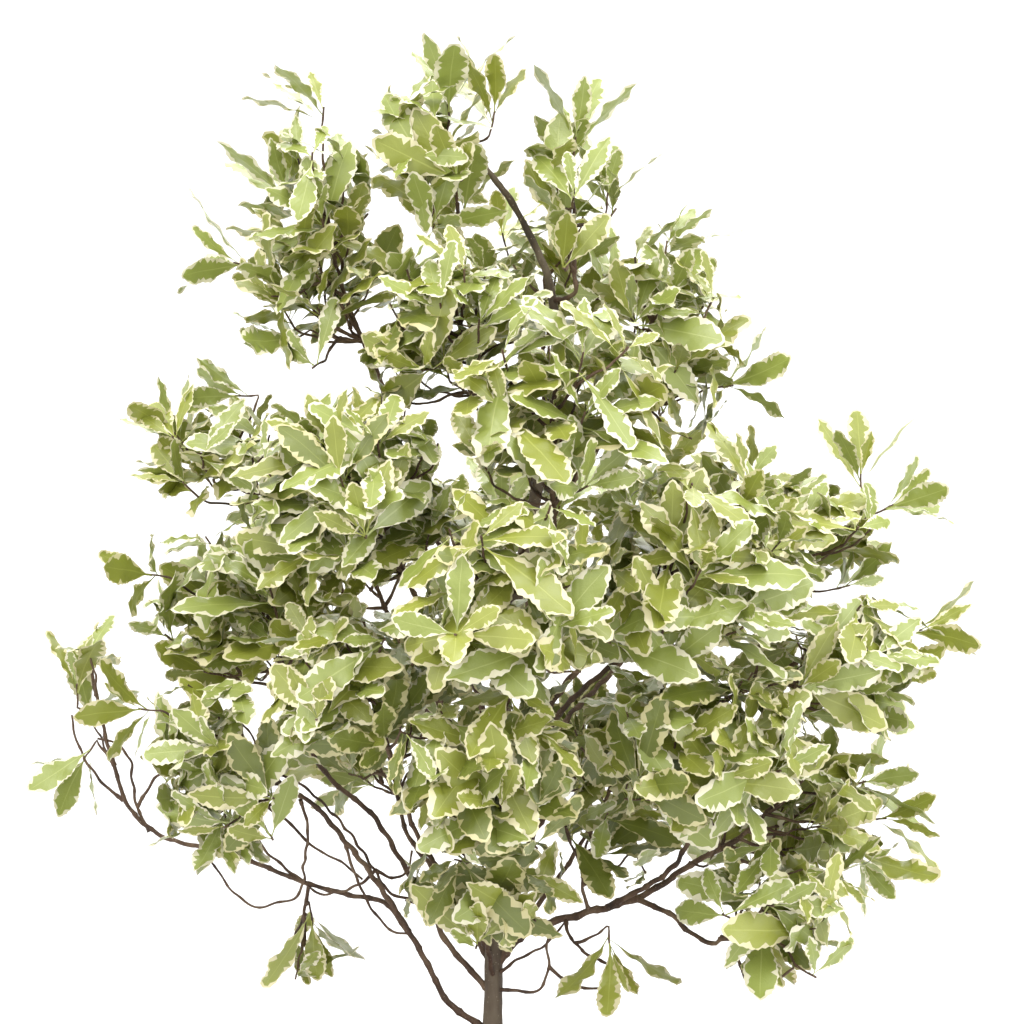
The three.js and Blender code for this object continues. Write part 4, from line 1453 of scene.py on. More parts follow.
class LayoutBench(NodeBench):
    """A Geometry Nodes tree with named inputs, and the means to turn it into a plain piece."""

    def __init__(self, name: str, inputs: dict[str, str]) -> None:
        """Starts a tree.

        Args:
            name: The tree's name.
            inputs: The name and the socket type of each input past the geometry.
        """
        super().__init__(bpy.data.node_groups.new(name, "GeometryNodeTree"))
        face = self.tree.interface
        face.new_socket("Geometry", in_out="INPUT", socket_type="NodeSocketGeometry")
        for label, kind in inputs.items():
            socket = face.new_socket(label, in_out="INPUT", socket_type=f"NodeSocket{kind}")
            self.keys[label] = socket.identifier
        face.new_socket("Geometry", in_out="OUTPUT", socket_type="NodeSocketGeometry")
        self.entry = self.add("NodeGroupInput")
        self.exit = self.add("NodeGroupOutput")
        self.flow = self.entry.outputs["Geometry"]

    def attribute(self, name: str, data_type: str) -> Socket:
        """Reads a named attribute of the geometry.

        Args:
            name: Its name.
            data_type: Its type.

        Returns:
            Its socket.
        """
        node = self.add("GeometryNodeInputNamedAttribute", data_type=data_type)
        self.feed(node, Name=name)
        return self.out(node)

    def step(self, kind: str, into: str = "Geometry", **inputs: object) -> None:
        """Adds a node that the geometry flows through.

        Args:
            kind: The node's type, without its prefix.
            into: The name of the input that the geometry enters by.
            **inputs: The values of its other inputs, with _ for a space.
        """
        node = self.add(f"GeometryNode{kind}")
        self.link(self.flow, node.inputs[into])
        self.feed(node, **inputs)
        self.flow = self.out(node)

    def vector_math(self, operation: str, first: object, **second: object) -> Socket:
        """Works out a sum of two vectors, or of a vector and a number.

        Args:
            operation: The kind of sum.
            first: The first vector.
            **second: The other value, by its input.

        Returns:
            The socket of the result.
        """
        node = self.add("ShaderNodeVectorMath", operation=operation)
        self.give(node.inputs[0], first)
        self.feed(node, **second)
        return self.out(node)

    def position(self) -> Socket:
        """Reads where each point is."""
        return self.out(self.add("GeometryNodeInputPosition"))

    def ripple(self, amount: object, scale: object, detail: float = 1.0) -> None:
        """Shifts every point a little by noise, so that no two copies are the same.

        Args:
            amount: How far, in metres.
            scale: How many of its features there are in a metre.
            detail: How many finer layers it has.
        """
        noise = self.noise(self.position(), scale, detail, "Color")
        centred = self.vector_math("SUBTRACT", noise, Vector_001=(0.5, 0.5, 0.5))
        self.step("SetPosition", Offset=self.vector_math("SCALE", centred, Scale=amount))

    def paint(self, material: Material, where: object = True) -> None:
        """Sets a material, everywhere or where a socket says so."""
        self.step("SetMaterial", Selection=where, Material=material)

    def piece(self, name: str, layout: Mesh, values: dict[str, object]) -> bpy.types.Object:
        """Runs the tree on a layout and returns the result as a plain piece.

        Args:
            name: The piece's name.
            layout: The mesh that the tree starts from.
            values: The value of each named input.

        Returns:
            An object at the origin, with a plain mesh and no modifier.
        """
        self.link(self.flow, self.exit.inputs["Geometry"])
        holder = placed(f"{name}_layout", layout)
        modifier = holder.modifiers.new(self.tree.name, "NODES")
        modifier.node_group = self.tree
        for label, value in values.items():
            modifier[self.keys[label]] = value
        piece = plain_piece(name, holder)
        bpy.data.objects.remove(holder)
        return piece


def placed(name: str, data: bpy.types.ID) -> bpy.types.Object:
    """Puts new data in the scene.

    Args:
        name: The object's name.
        data: What it holds.

    Returns:
        The object.
    """
    holder = bpy.data.objects.new(name, data)
    bpy.context.scene.collection.objects.link(holder)
    return holder


def plain_piece(name: str, source: bpy.types.Object) -> bpy.types.Object:
    """Turns an object with its modifiers into a plain piece.

    Args:
        name: The new piece's name.
        source: The object to read.

    Returns:
        The piece, with only the materials that its faces use.
    """
    graph = bpy.context.evaluated_depsgraph_get()
    mesh = bpy.data.meshes.new_from_object(source.evaluated_get(graph), depsgraph=graph)
    mesh.name = name
    mesh.transform(source.matrix_world)
    slots = np.zeros(len(mesh.polygons), dtype=np.int32)
    mesh.polygons.foreach_get("material_index", slots)
    used, order = np.unique(slots, return_inverse=True)
    kept = [mesh.materials[i] for i in used]
    mesh.materials.clear()
    for material in kept:
        mesh.materials.append(material)
    mesh.polygons.foreach_set("material_index", order.astype(np.int32))
    extras = [a.name for a in mesh.attributes if not a.is_required and not a.is_internal]
    wanted = {layer.name for layer in mesh.uv_layers} | {"sharp_face", "sharp_edge", "material_index"}
    for extra in extras:
        if extra not in wanted:
            mesh.attributes.remove(mesh.attributes[extra])
    mesh.validate()
    return placed(name, mesh)


def mesh_from(name: str, points: Array, faces: list[tuple[int, ...]]) -> Mesh:
    """Makes a mesh.

    Args:
        name: Its name.
        points: Its points, in metres.
        faces: The points of each face.

    Returns:
        The mesh.
    """
    mesh = bpy.data.meshes.new(name)
    mesh.from_pydata(np.asarray(points).tolist(), [], faces)
    mesh.update()
    return mesh


def round_form(
    name: str, rows: list[tuple[float, float]], sides: int, downward: bool,
    waver: Callable[[float, float, float], float] = lambda radius, z, turn: 0.0
) -> Mesh:
    """Turns a profile about the Z axis into a mesh.

    Args:
        name: The mesh's name.
        rows: The radius and height of each ring, in millimetres. The first is a pole, and the last may be.
        sides: The number of points in a ring.
        downward: Whether the profile runs from the top down on its outside.
        waver: How far a point strays outwards, by its radius, height and turn.

    Returns:
        The mesh, with its faces outwards.
    """
    points = []
    for radius, z in rows:
        for k in range(sides if radius else 1):
            turn = 2 * math.pi * k / sides
            wide = radius + waver(radius, z, turn)
            points.append((wide * math.cos(turn), wide * math.sin(turn), z))
    rings = sum(1 for radius, _ in rows if radius)
    last = 1 + (rings - 1) * sides
    faces = []
    for k in range(sides):
        after = (k + 1) % sides
        strip = [(0, 1 + k, 1 + after)]
        for a in range(1, last, sides):
            strip.append((a + k, a + sides + k, a + sides + after, a + after))
        if not rows[-1][0]:
            strip.append((last + k, len(points) - 1, last + after))
        faces.extend(strip if downward else [(face[0], *face[:0:-1]) for face in strip])
    return mesh_from(name, np.array(points) * MM, faces)


# The plant's pieces


@dataclass(frozen=True)
class LeafShape:
    """One shape of leaf, in millimetres: a toothed, wavy blade on a short stalk."""

    seed: str
    width: float
    slim: float
    arch: float
    fold: float
    twist: float
    bend: float
    length: float = 48.0
    stalk: float = 0.1
    stalk_half: float = 0.5
    rib_depth: float = 0.08
    blunt: float = 0.66
    margin: float = 2.1
    margin_chance: float = 2.3
    tooth: float = 0.42
    scallop: float = 0.02
    wave: float = 1.2
    peak: float = 0.65
    stations: int = 8
    steps: int = 3
    toothed_from: float = 0.26
    cup: float = 0.012
    arch_power: float = 2.2
    rib_taper: float = 0.8
    tip_inner: float = 0.965
    # The pale margin: its share at the foot and what it gains, its least, and its share of the half width
    margin_foot: float = 0.35
    margin_gain: float = 0.85
    margin_least: float = 0.3
    margin_most: float = 0.5
    # The edge: its waves and lobes, how uneven its teeth are, how deep the notches, and how it strays
    waves: tuple[float, float] = (1.6, 3.2)
    lobes: tuple[float, float] = (3, 5)
    uneven: tuple[float, float] = (0.5, 1.4)
    notch: float = 0.8
    green_least: float = 0.35
    forward: float = 0.25
    stray: float = 0.01

    def half_width(self, share: float) -> float:
        """Works out the blade's half width.

        Args:
            share: How far along it.

        Returns:
            The half width.
        """
        if share < self.peak:
            return self.width / 2 * math.sin(math.pi / 2 * share / self.peak) ** self.slim
        past = (share - self.peak) / (1 - self.peak)
        return self.width / 2 * max(math.cos(math.pi / 2 * past), 0) ** self.blunt

    def lift(self, x: float, y: float, share: float, wave: float) -> float:
        """Works out the height of the blade at a point.

        Args:
            x: How far it is from the midrib.
            y: How far it is along the leaf.
            share: Its share of the blade's length.
            wave: How far the margin's wave lifts it.

        Returns:
            The height.
        """
        along = y / self.length
        fold = self.fold * abs(x) - self.cup * x * x
        arch = -self.arch * along**self.arch_power
        twist = self.twist * x * share
        return fold + arch + twist + wave

    def point(self, x: float, share: float, wave: float = 0.0) -> Point:
        """Returns a point of the blade in its own frame.

        Args:
            x: How far it is from the midrib, signed.
            share: Its share of the blade's length.
            wave: How far the margin's wave lifts it.

        Returns:
            The point, with the sideways bend of the leaf.
        """
        y = self.length * (self.stalk + (1 - self.stalk) * share)
        side = self.bend * (y / self.length) ** 2
        return (x + side, y, self.lift(x, y, share, wave))

    def rib_half(self, share: float) -> float:
        """Returns the half width of the midrib at a share of the blade's length."""
        return self.stalk_half * (1 - self.rib_taper * share)

    def margin_at(self, share: float, random: SeededStream) -> float:
        """Draws the width of the pale margin.

        Args:
            share: How far along the blade.
            random: The leaf's own draws.

        Returns:
            The width.
        """
        grown = self.margin * (self.margin_foot + self.margin_gain * share)
        wide = grown * (self.margin_least + self.margin_chance * random.draw() ** 2)
        return min(wide, self.margin_most * self.half_width(share) + 0.2)

    def edge_rows(self, sign: int, random: SeededStream) -> tuple[list[Point], list[Point]]:
        """Returns the inner line and the toothed edge of the pale margin on one side.

        Args:
            sign: 1 or -1, the side.
            random: The leaf's own draws.

        Returns:
            The points of the two lines, without the blade's foot and tip.
        """
        phase = 2 * math.pi * random.draw()
        waves = random.between(*self.waves)
        lobes = random.between(*self.lobes)
        inner = []
        edge = []
        count = self.stations * self.steps
        for i in range(1, count):
            share = i / count
            turn = 2 * math.pi * share
            half = self.half_width(share) * (1 + self.scallop * math.sin(lobes * turn + phase))
            swing = self.wave * min(1, 3 * share) * math.sin(waves * turn + phase)
            tooth = 0.0
            if share > self.toothed_from:
                tooth = self.tooth * (1 if i % 2 else -self.notch) * random.between(*self.uneven)
            rib = self.rib_half(share)
            green = max(half - self.margin_at(share, random), rib + self.green_least * (half - rib))
            back = share - self.stray * random.draw()
            inner.append(self.point(sign * green, back, swing * (green / half) ** 2))
            ahead = share + self.forward * tooth / self.length
            edge.append(self.point(sign * (half + tooth), ahead, swing))
        return inner, edge

    def mesh(self) -> Mesh:
        """Makes the leaf, with its zones and its own flat map.

        Returns:
            The mesh.
        """
        random = SeededStream(self.seed)
        points = []
        faces = []
        zones = []

        def put(new: list[Point]) -> list[int]:
            """Adds points and returns their numbers."""
            points.extend(new)
            return list(range(len(points) - len(new), len(points)))

        def face(zone: Zone, corners: list[int], side: int = 0) -> None:
            """Adds a face of a zone, turned over on the second side.

            Args:
                zone: The zone.
                corners: The numbers of its points.
                side: 0 or 1.
            """
            ring = list(dict.fromkeys(corners))
            faces.append(ring if side == 0 else ring[::-1])
            zones.append(zone.value)

        foot = -self.stalk / (1 - self.stalk)
        root = put([self.point(sign * self.stalk_half, foot) for sign in (-1, 1)])
        ribs = []
        for i in range(self.stations):
            share = i / self.stations
            half = self.rib_half(share)
            ribs.append(put([self.point(sign * half, share, -self.rib_depth) for sign in (-1, 1)]))
        tip_inner, tip = put([self.point(0, self.tip_inner), self.point(0, 1)])
        ribs.append([tip_inner, tip_inner])
        face(Zone.RIB, [root[0], ribs[0][0], ribs[0][1], root[1]])
        for low, high in zip(ribs, ribs[1:]):
            face(Zone.RIB, [low[0], high[0], high[1], low[1]])
        for side in (0, 1):
            rows = self.edge_rows(2 * side - 1, random)
            inner, edge = ([ribs[0][side], *put(row)] for row in rows)
            inner.append(tip_inner)
            edge.append(tip)
            for i in range(self.stations):
                along = inner[i * self.steps : (i + 1) * self.steps + 1]
                face(Zone.BLADE, [ribs[i][side], *along, ribs[i + 1][side]], side)
            for i in range(len(edge) - 1):
                face(Zone.MARGIN, [inner[i], edge[i], edge[i + 1], inner[i + 1]], side)
        mesh = mesh_from(self.seed, np.array(points) * MM, [ring[::-1] for ring in faces])
        zone_layer = mesh.attributes.new("zone", "INT", "FACE")
        zone_layer.data.foreach_set("value", zones)
        layer = mesh.uv_layers.new(name="leaf")
        corners = np.zeros(len(mesh.loops), dtype=np.int32)
        mesh.loops.foreach_get("vertex_index", corners)
        flat = np.array(points)[corners][:, :2] / self.length + (0.5, 0)
        layer.data.foreach_set("uv", flat.ravel())
        return mesh


LEAF_SHAPES = (
    LeafShape("leaf_a", 17.0, 1.25, 6.0, 0.10, 0.10, 1.5),
    LeafShape("leaf_b", 17.5, 1.1, 9.0, 0.05, -0.12, -2.0, wave=1.4, peak=0.6, blunt=0.72),
    LeafShape("leaf_c", 14.5, 1.3, 3.0, 0.14, 0.16, 3.0, tooth=0.5, peak=0.57, blunt=0.86),
    LeafShape("leaf_d", 17.0, 1.2, 11.0, 0.04, 0.08, -1.0, wave=1.8, margin=2.5),
    LeafShape("leaf_e", 15.0, 1.3, 7.0, 0.12, -0.14, -3.0, peak=0.7, blunt=0.55),
    LeafShape("leaf_f", 18.0, 1.15, 4.0, 0.08, 0.04, 2.0, margin=1.8, wave=0.8, peak=0.62, blunt=0.76),
)
LEAF_COLOURS = {
    Tint.SAGE: {Zone.RIB: "a8b262", Zone.BLADE: "939f49", Zone.MARGIN: "e6e1c2"},
    Tint.MEADOW: {Zone.RIB: "a4aa4c", Zone.BLADE: "909737", Zone.MARGIN: "e1d9ae"},
    Tint.FRESH: {Zone.RIB: "b0b656", Zone.BLADE: "9fa542", Zone.MARGIN: "dfd7a8"},
    # A darker copy of the colours above, used as painted shade deep in the crown and on a few sprays at
    # random
    Tint.SHADE: {Zone.RIB: "7e8738", Zone.BLADE: "6e7826", Zone.MARGIN: "cdc590"},
}


@dataclass
class Foliage:
    """All the leaves, joined into one piece for each region of the crown."""

    crown: Crown
    ripple: float = 0.0016
    ripple_scale: float = 55.0

    def templates(self) -> bpy.types.Collection:
        """Makes the leaf shapes.

        Returns:
            A collection of them that isn't shown.
        """
        shapes = bpy.data.collections.new("leaf_shapes")
        for shape in LEAF_SHAPES:
            shapes.objects.link(bpy.data.objects.new(shape.seed, shape.mesh()))
        return shapes

    def layout(self, name: str, leaves: list[Leaf]) -> Mesh:
        """Sets out a point for each leaf, which holds how it lies and what it looks like.

        Args:
            name: The piece's name.
            leaves: Its leaves.

        Returns:
            The mesh.
        """
        mesh = bpy.data.meshes.new(f"{name}_layout")
        mesh.vertices.add(len(leaves))
        mesh.vertices.foreach_set("co", np.array([leaf.root for leaf in leaves]).ravel() * MM)
        turns = [Matrix(leaf.basis.tolist()).to_quaternion() for leaf in leaves]
        columns = {
            "turn": ("QUATERNION", np.array([tuple(turn) for turn in turns]).ravel()),
            "size": ("FLOAT", np.array([leaf.size for leaf in leaves])),
            "kind": ("INT", np.array([leaf.kind for leaf in leaves])),
            "tint": ("INT", np.array([leaf.tint.value for leaf in leaves])),
        }
        for label, (kind, values) in columns.items():
            layer = mesh.attributes.new(label, kind, "POINT")
            layer.data.foreach_set("value", values)
        return mesh

    def bench(self, finishes: dict[tuple[Tint, Zone], Material]) -> LayoutBench:
        """Sets out the tree that puts a leaf on each point and deals out the colours.

        Args:
            finishes: The material of each tint and zone.

        Returns:
            The tree.
        """
        bench = LayoutBench(
            "leaf_spray", {"Shapes": "Collection", "Ripple": "Float", "Ripple Scale": "Float"}
        )
        shapes = bench.add("GeometryNodeCollectionInfo")
        bench.feed(shapes, Collection="Shapes", Separate_Children=True, Reset_Children=True)
        bench.step(
            "InstanceOnPoints", "Points",
            Instance=bench.out(shapes),
            Pick_Instance=True,
            Instance_Index=bench.attribute("kind", "INT"),
            Rotation=bench.attribute("turn", "QUATERNION"),
            Scale=bench.attribute("size", "FLOAT"),
        )
        bench.step("RealizeInstances")
        bench.ripple("Ripple", "Ripple Scale")
        bench.step("SetShadeSmooth", Shade_Smooth=True)
        for (tint, zone), material in finishes.items():
            chosen = bench.add("FunctionNodeBooleanMath", operation="AND")
            for socket, label, value in zip(chosen.inputs, ("tint", "zone"), (tint.value, zone.value)):
                same = bench.add("FunctionNodeCompare", data_type="INT", operation="EQUAL")
                bench.feed(same, A_INT=bench.attribute(label, "INT"), B_INT=value)
                bench.link(bench.out(same), socket)
            bench.paint(material, bench.out(chosen))
        return bench

    def build(self) -> None:
        """Makes the leaf pieces."""
        finishes = {}
        for tint, zones in LEAF_COLOURS.items():
            for zone, colour in zones.items():
                name = f"leaf_{tint.name.lower()}_{zone.name.lower()}"
                finishes[tint, zone] = LeafFinish(name, colour).material()
        shapes = self.templates()
        bench = self.bench(finishes)
        for region in Region:
            leaves = [leaf for leaf in self.crown.leaves if leaf.region is region]
            name = f"leaves_{region.value}"
            values = {"Shapes": shapes, "Ripple": self.ripple, "Ripple Scale": self.ripple_scale}
            piece = bench.piece(name, self.layout(name, leaves), values)
            nodes = [f"{mass.name}_leaves" for mass in MASSES if mass.region is region]
            mount(piece, nodes)
        for shape in list(shapes.objects):
            bpy.data.objects.remove(shape)
        bpy.data.collections.remove(shapes)


@dataclass
class Woodwork:
    """The trunk, the boughs and the twigs, with the relief of their bark."""

    crown: Crown
    step: float = 2.2
    node_spacing: float = 13.0
    node_width: float = 1.3
    node_swell: float = 0.32
    collar: float = 0.45
    collar_length: float = 7.0
    waver: float = 0.5
    waves: tuple[float, float] = (0.045, 0.075)
    slimness: float = 0.78

    def dressed(self, limb: Limb) -> tuple[Array, Array]:
        """Gives a limb its joints, a slight waver and a collar at its foot.

        Args:
            limb: The limb.

        Returns:
            The points and the radii of the finished line.
        """
        line = limb.fine
        steps = np.linalg.norm(np.diff(line, axis=0), axis=1)
        total = float(steps.sum())
        count = max(len(line), int(total / self.step))
        walked = np.concatenate([[0], np.cumsum(steps)])
        places = np.linspace(0, total, count)
        points = np.column_stack([np.interp(places, walked, line[:, axis]) for axis in range(3)])
        radii = np.interp(places, walked, limb.fine_radii) * self.slimness
        random = SeededStream(f"{limb.name}-{line[-1][0]:.1f}-{line[-1][2]:.1f}")
        offset = random.between(0, self.node_spacing)
        phase = (places + offset) % self.node_spacing
        ring = np.exp(-((np.minimum(phase, self.node_spacing - phase) / self.node_width) ** 2))
        radii = radii * (1 + self.node_swell * ring)
        radii = radii * (1 + self.collar * np.exp(-places / self.collar_length))
        envelope = np.sin(np.pi * np.clip(places / total, 0, 1))
        for axis in range(3):
            wave = random.between(*self.waves)
            start = random.between(0, ROUND)
            points[:, axis] += self.waver * envelope * np.sin(places * wave * ROUND + start)
        return points, radii

    def layout(self, name: str, lines: list[tuple[Array, Array]]) -> Mesh:
        """Sets out several limbs as edges that hold their thickness.

        Args:
            name: The piece's name.
            lines: The points and the radii of each limb.

        Returns:
            The mesh.
        """
        points = np.vstack([line for line, _ in lines]) * MM
        thickness = np.concatenate([radii for _, radii in lines]) * MM
        edges = []
        start = 0
        for line, _ in lines:
            edges.extend((start + i, start + i + 1) for i in range(len(line) - 1))
            start += len(line)
        mesh = bpy.data.meshes.new(f"{name}_layout")
        mesh.from_pydata(points.tolist(), edges, [])
        layer = mesh.attributes.new("thickness", "FLOAT", "POINT")
        layer.data.foreach_set("value", thickness)
        return mesh

    def bench(self, material: Material) -> LayoutBench:
        """Sets out the tree that sweeps a round along each line and raises the bark's relief.

        Args:
            material: The bark's finish.

        Returns:
            The tree.
        """
        bench = LayoutBench(
            "bark_sweep",
            {"Sides": "Int", "Relief": "Float", "Relief Scale": "Float", "Stretch": "Vector"},
        )
        bench.step("MeshToCurve", "Mesh")
        round_profile = bench.add("GeometryNodeCurvePrimitiveCircle")
        bench.feed(round_profile, Resolution="Sides", Radius=1.0)
        bench.step(
            "CurveToMesh", "Curve",
            Profile_Curve=bench.out(round_profile),
            Scale=bench.attribute("thickness", "FLOAT"),
            Fill_Caps=True,
        )
        stretched = bench.vector_math("MULTIPLY", bench.position(), Vector_001="Stretch")
        ridges = bench.math("SUBTRACT", bench.noise(stretched, "Relief Scale"), 0.5)
        depth = bench.math("MULTIPLY", ridges, "Relief")
        normal = bench.add("GeometryNodeInputNormal").outputs["Normal"]
        bench.step("SetPosition", Offset=bench.vector_math("SCALE", normal, Scale=depth))
        bench.step("SetShadeSmooth", Shade_Smooth=True)
        bench.step("RealizeInstances")
        bench.paint(material)
        return bench

    def sweep(
        self, name: str, bench: LayoutBench, lines: list[tuple[Array, Array]],
        nodes: list[str], sides: int, relief: float, scale: float, stretch: float = 1.0
    ) -> None:
        """Makes one piece of bark.

        Args:
            name: The piece's name.
            bench: The tree that sweeps it.
            lines: The points and the radii of each limb.
            nodes: The solids that it replaces.
            sides: How many sides a limb has.
            relief: How high its ridges are, in metres.
            scale: How many ridges there are in a metre.
            stretch: Their share of that number along Z.
        """
        values = {"Sides": sides, "Relief": relief, "Relief Scale": scale, "Stretch": (1, 1, stretch)}
        mount(bench.piece(name, self.layout(name, lines), values), nodes)

    def build(self) -> None:
        """Makes the bark pieces."""
        old = BarkFinish("bark_grey_brown", "362c22", "574a3c", "7c705f").material()
        young = BarkFinish("bark_young", "36261c", "5c4636", "826d58", patch=90, depth=0.0004).material()
        trunk = self.crown.limbs["trunk"]
        boughs = [limb for name, limb in self.crown.limbs.items() if name != "trunk"]
        line = [(trunk.fine, trunk.fine_radii)]
        self.sweep("trunk_bark", self.bench(old), line, ["trunk"], sides=28, relief=0.0034, scale=130.0,
                   stretch=0.22)
        bench = self.bench(young)
        lines = [self.dressed(limb) for limb in boughs]
        names = [limb.name for limb in boughs]
        self.sweep("bough_bark", bench, lines, names, sides=10, relief=0.0011, scale=190.0)
        lines = [self.dressed(limb) for limb in self.crown.twigs]
        self.sweep("twigs", bench, lines, [], sides=6, relief=0.0005, scale=320.0)


# The pot and its soil


@dataclass
class Pot:
    """A plain thrown clay pot with a rolled rim band and three drain holes, in millimetres."""

    height: float = 180.0
    rim_radius: float = 112.0
    foot_radius: float = 77.0
    wall: float = 8.0
    floor: float = 10.0
    rim_band: float = 38.0
    rim_step: float = 5.0
    edge: float = 2.5
    hole_count: int = 3
    hole_radius: float = 6.0
    hole_ring: float = 34.0
    hole_turn: float = math.pi / 6
    sides: int = 96
    run: float = 9.0
    wobble: float = 0.35
    wobble_turns: int = 3
    wobble_rises: tuple[float, float] = (40.0, 23.0)
    even_share: float = 0.6

    def inner(self, z: float) -> float:
        """Returns the inner radius at a height."""
        slope = (self.rim_radius - self.rim_step - self.foot_radius) / (self.height - self.rim_band)
        return self.foot_radius + slope * z - self.wall

    def corner(self, at: tuple[float, float], before: tuple[float, float], after: tuple[float, float],
               radius: float) -> list[tuple[float, float]]:
        """Rounds a corner of the profile.

        Args:
            at: The corner.
            before: The profile's point before it.
            after: The profile's point after it.
            radius: How far along each side the rounding reaches.

        Returns:
            The points of the rounding.
        """
        corner = np.array(at)
        start = corner + unit(np.array(before) - corner) * radius
        end = corner + unit(np.array(after) - corner) * radius
        return [tuple(p) for p in arc_line(start, corner, end, 4)]

    def profile(self) -> list[tuple[float, float]]:
        """Draws the pot's profile from the middle of its foot, round the rim, to its inner floor.

        Returns:
            The radius and height of each point.
        """
        band = self.height - self.rim_band
        top = self.rim_radius - self.rim_step
        sharp = [
            (0.0, 0.0, 0.0),
            (self.foot_radius, 0.0, self.edge),
            (top, band, 0.8),
            (self.rim_radius - 0.4, band, 1.6),
            (self.rim_radius, self.height, self.edge),
            (self.inner(self.height), self.height, self.edge),
            (self.inner(self.floor), self.floor, 5.0),
            (0.0, self.floor, 0.0),
        ]
        points = []
        for i, (x, z, radius) in enumerate(sharp):
            if radius:
                before = sharp[i - 1][:2]
                after = sharp[i + 1][:2]
                points.extend(self.corner((x, z), before, after, radius))
            else:
                points.append((x, z))
        return self.divided(points)

    def divided(self, points: list[tuple[float, float]]) -> list[tuple[float, float]]:
        """Divides the long runs of a profile into short ones.

        Args:
            points: The profile.

        Returns:
            The same profile with more points.
        """
        rows = [points[0]]
        for a, b in zip(points, points[1:]):
            count = max(1, int(math.dist(a, b) / self.run))
            for k in range(1, count + 1):
                rows.append((a[0] + (b[0] - a[0]) * k / count, a[1] + (b[1] - a[1]) * k / count))
        return rows

    def stray(self, radius: float, z: float, turn: float) -> float:
        """Works out how far the thrown wall strays outwards.

        Args:
            radius: The point's radius.
            z: Its height.
            turn: Its turn about the axis.

        Returns:
            How far it strays.
        """
        if radius <= self.foot_radius * self.even_share:
            return 0.0
        turning, rising = self.wobble_rises
        return self.wobble * math.sin(self.wobble_turns * turn + z / turning) * math.sin(z / rising)

    def drills(self) -> bpy.types.Object:
        """Makes the drills that cut the drain holes.

        Returns:
            An object that holds them all.
        """
        shape = bmesh.new()
        for i in range(self.hole_count):
            turn = 2 * math.pi * i / self.hole_count + self.hole_turn
            at = Vector((math.cos(turn), math.sin(turn), 0)) * self.hole_ring * MM
            bmesh.ops.create_cone(
                shape, cap_ends=True, segments=20, radius1=self.hole_radius * MM,
                radius2=self.hole_radius * MM, depth=self.floor * 3 * MM, matrix=Matrix.Translation(at),
            )
        mesh = bpy.data.meshes.new("pot_drills")
        shape.to_mesh(mesh)
        shape.free()
        return placed("pot_drills", mesh)

    def build(self) -> None:
        """Makes the pot."""
        shell = placed("pot_shell", round_form("pot_shell", self.profile(), self.sides, False, self.stray))
        drills = self.drills()
        cut = shell.modifiers.new("drain_holes", "BOOLEAN")
        cut.operation = "DIFFERENCE"
        cut.solver = "EXACT"
        cut.object = drills
        bpy.context.view_layer.update()
        shell.data.materials.append(ClayFinish().material())
        piece = plain_piece("clay_pot", shell)
        for helper in (shell, drills):
            bpy.data.objects.remove(helper)
        piece.data.shade_smooth()
        mount(piece, ["pot"])


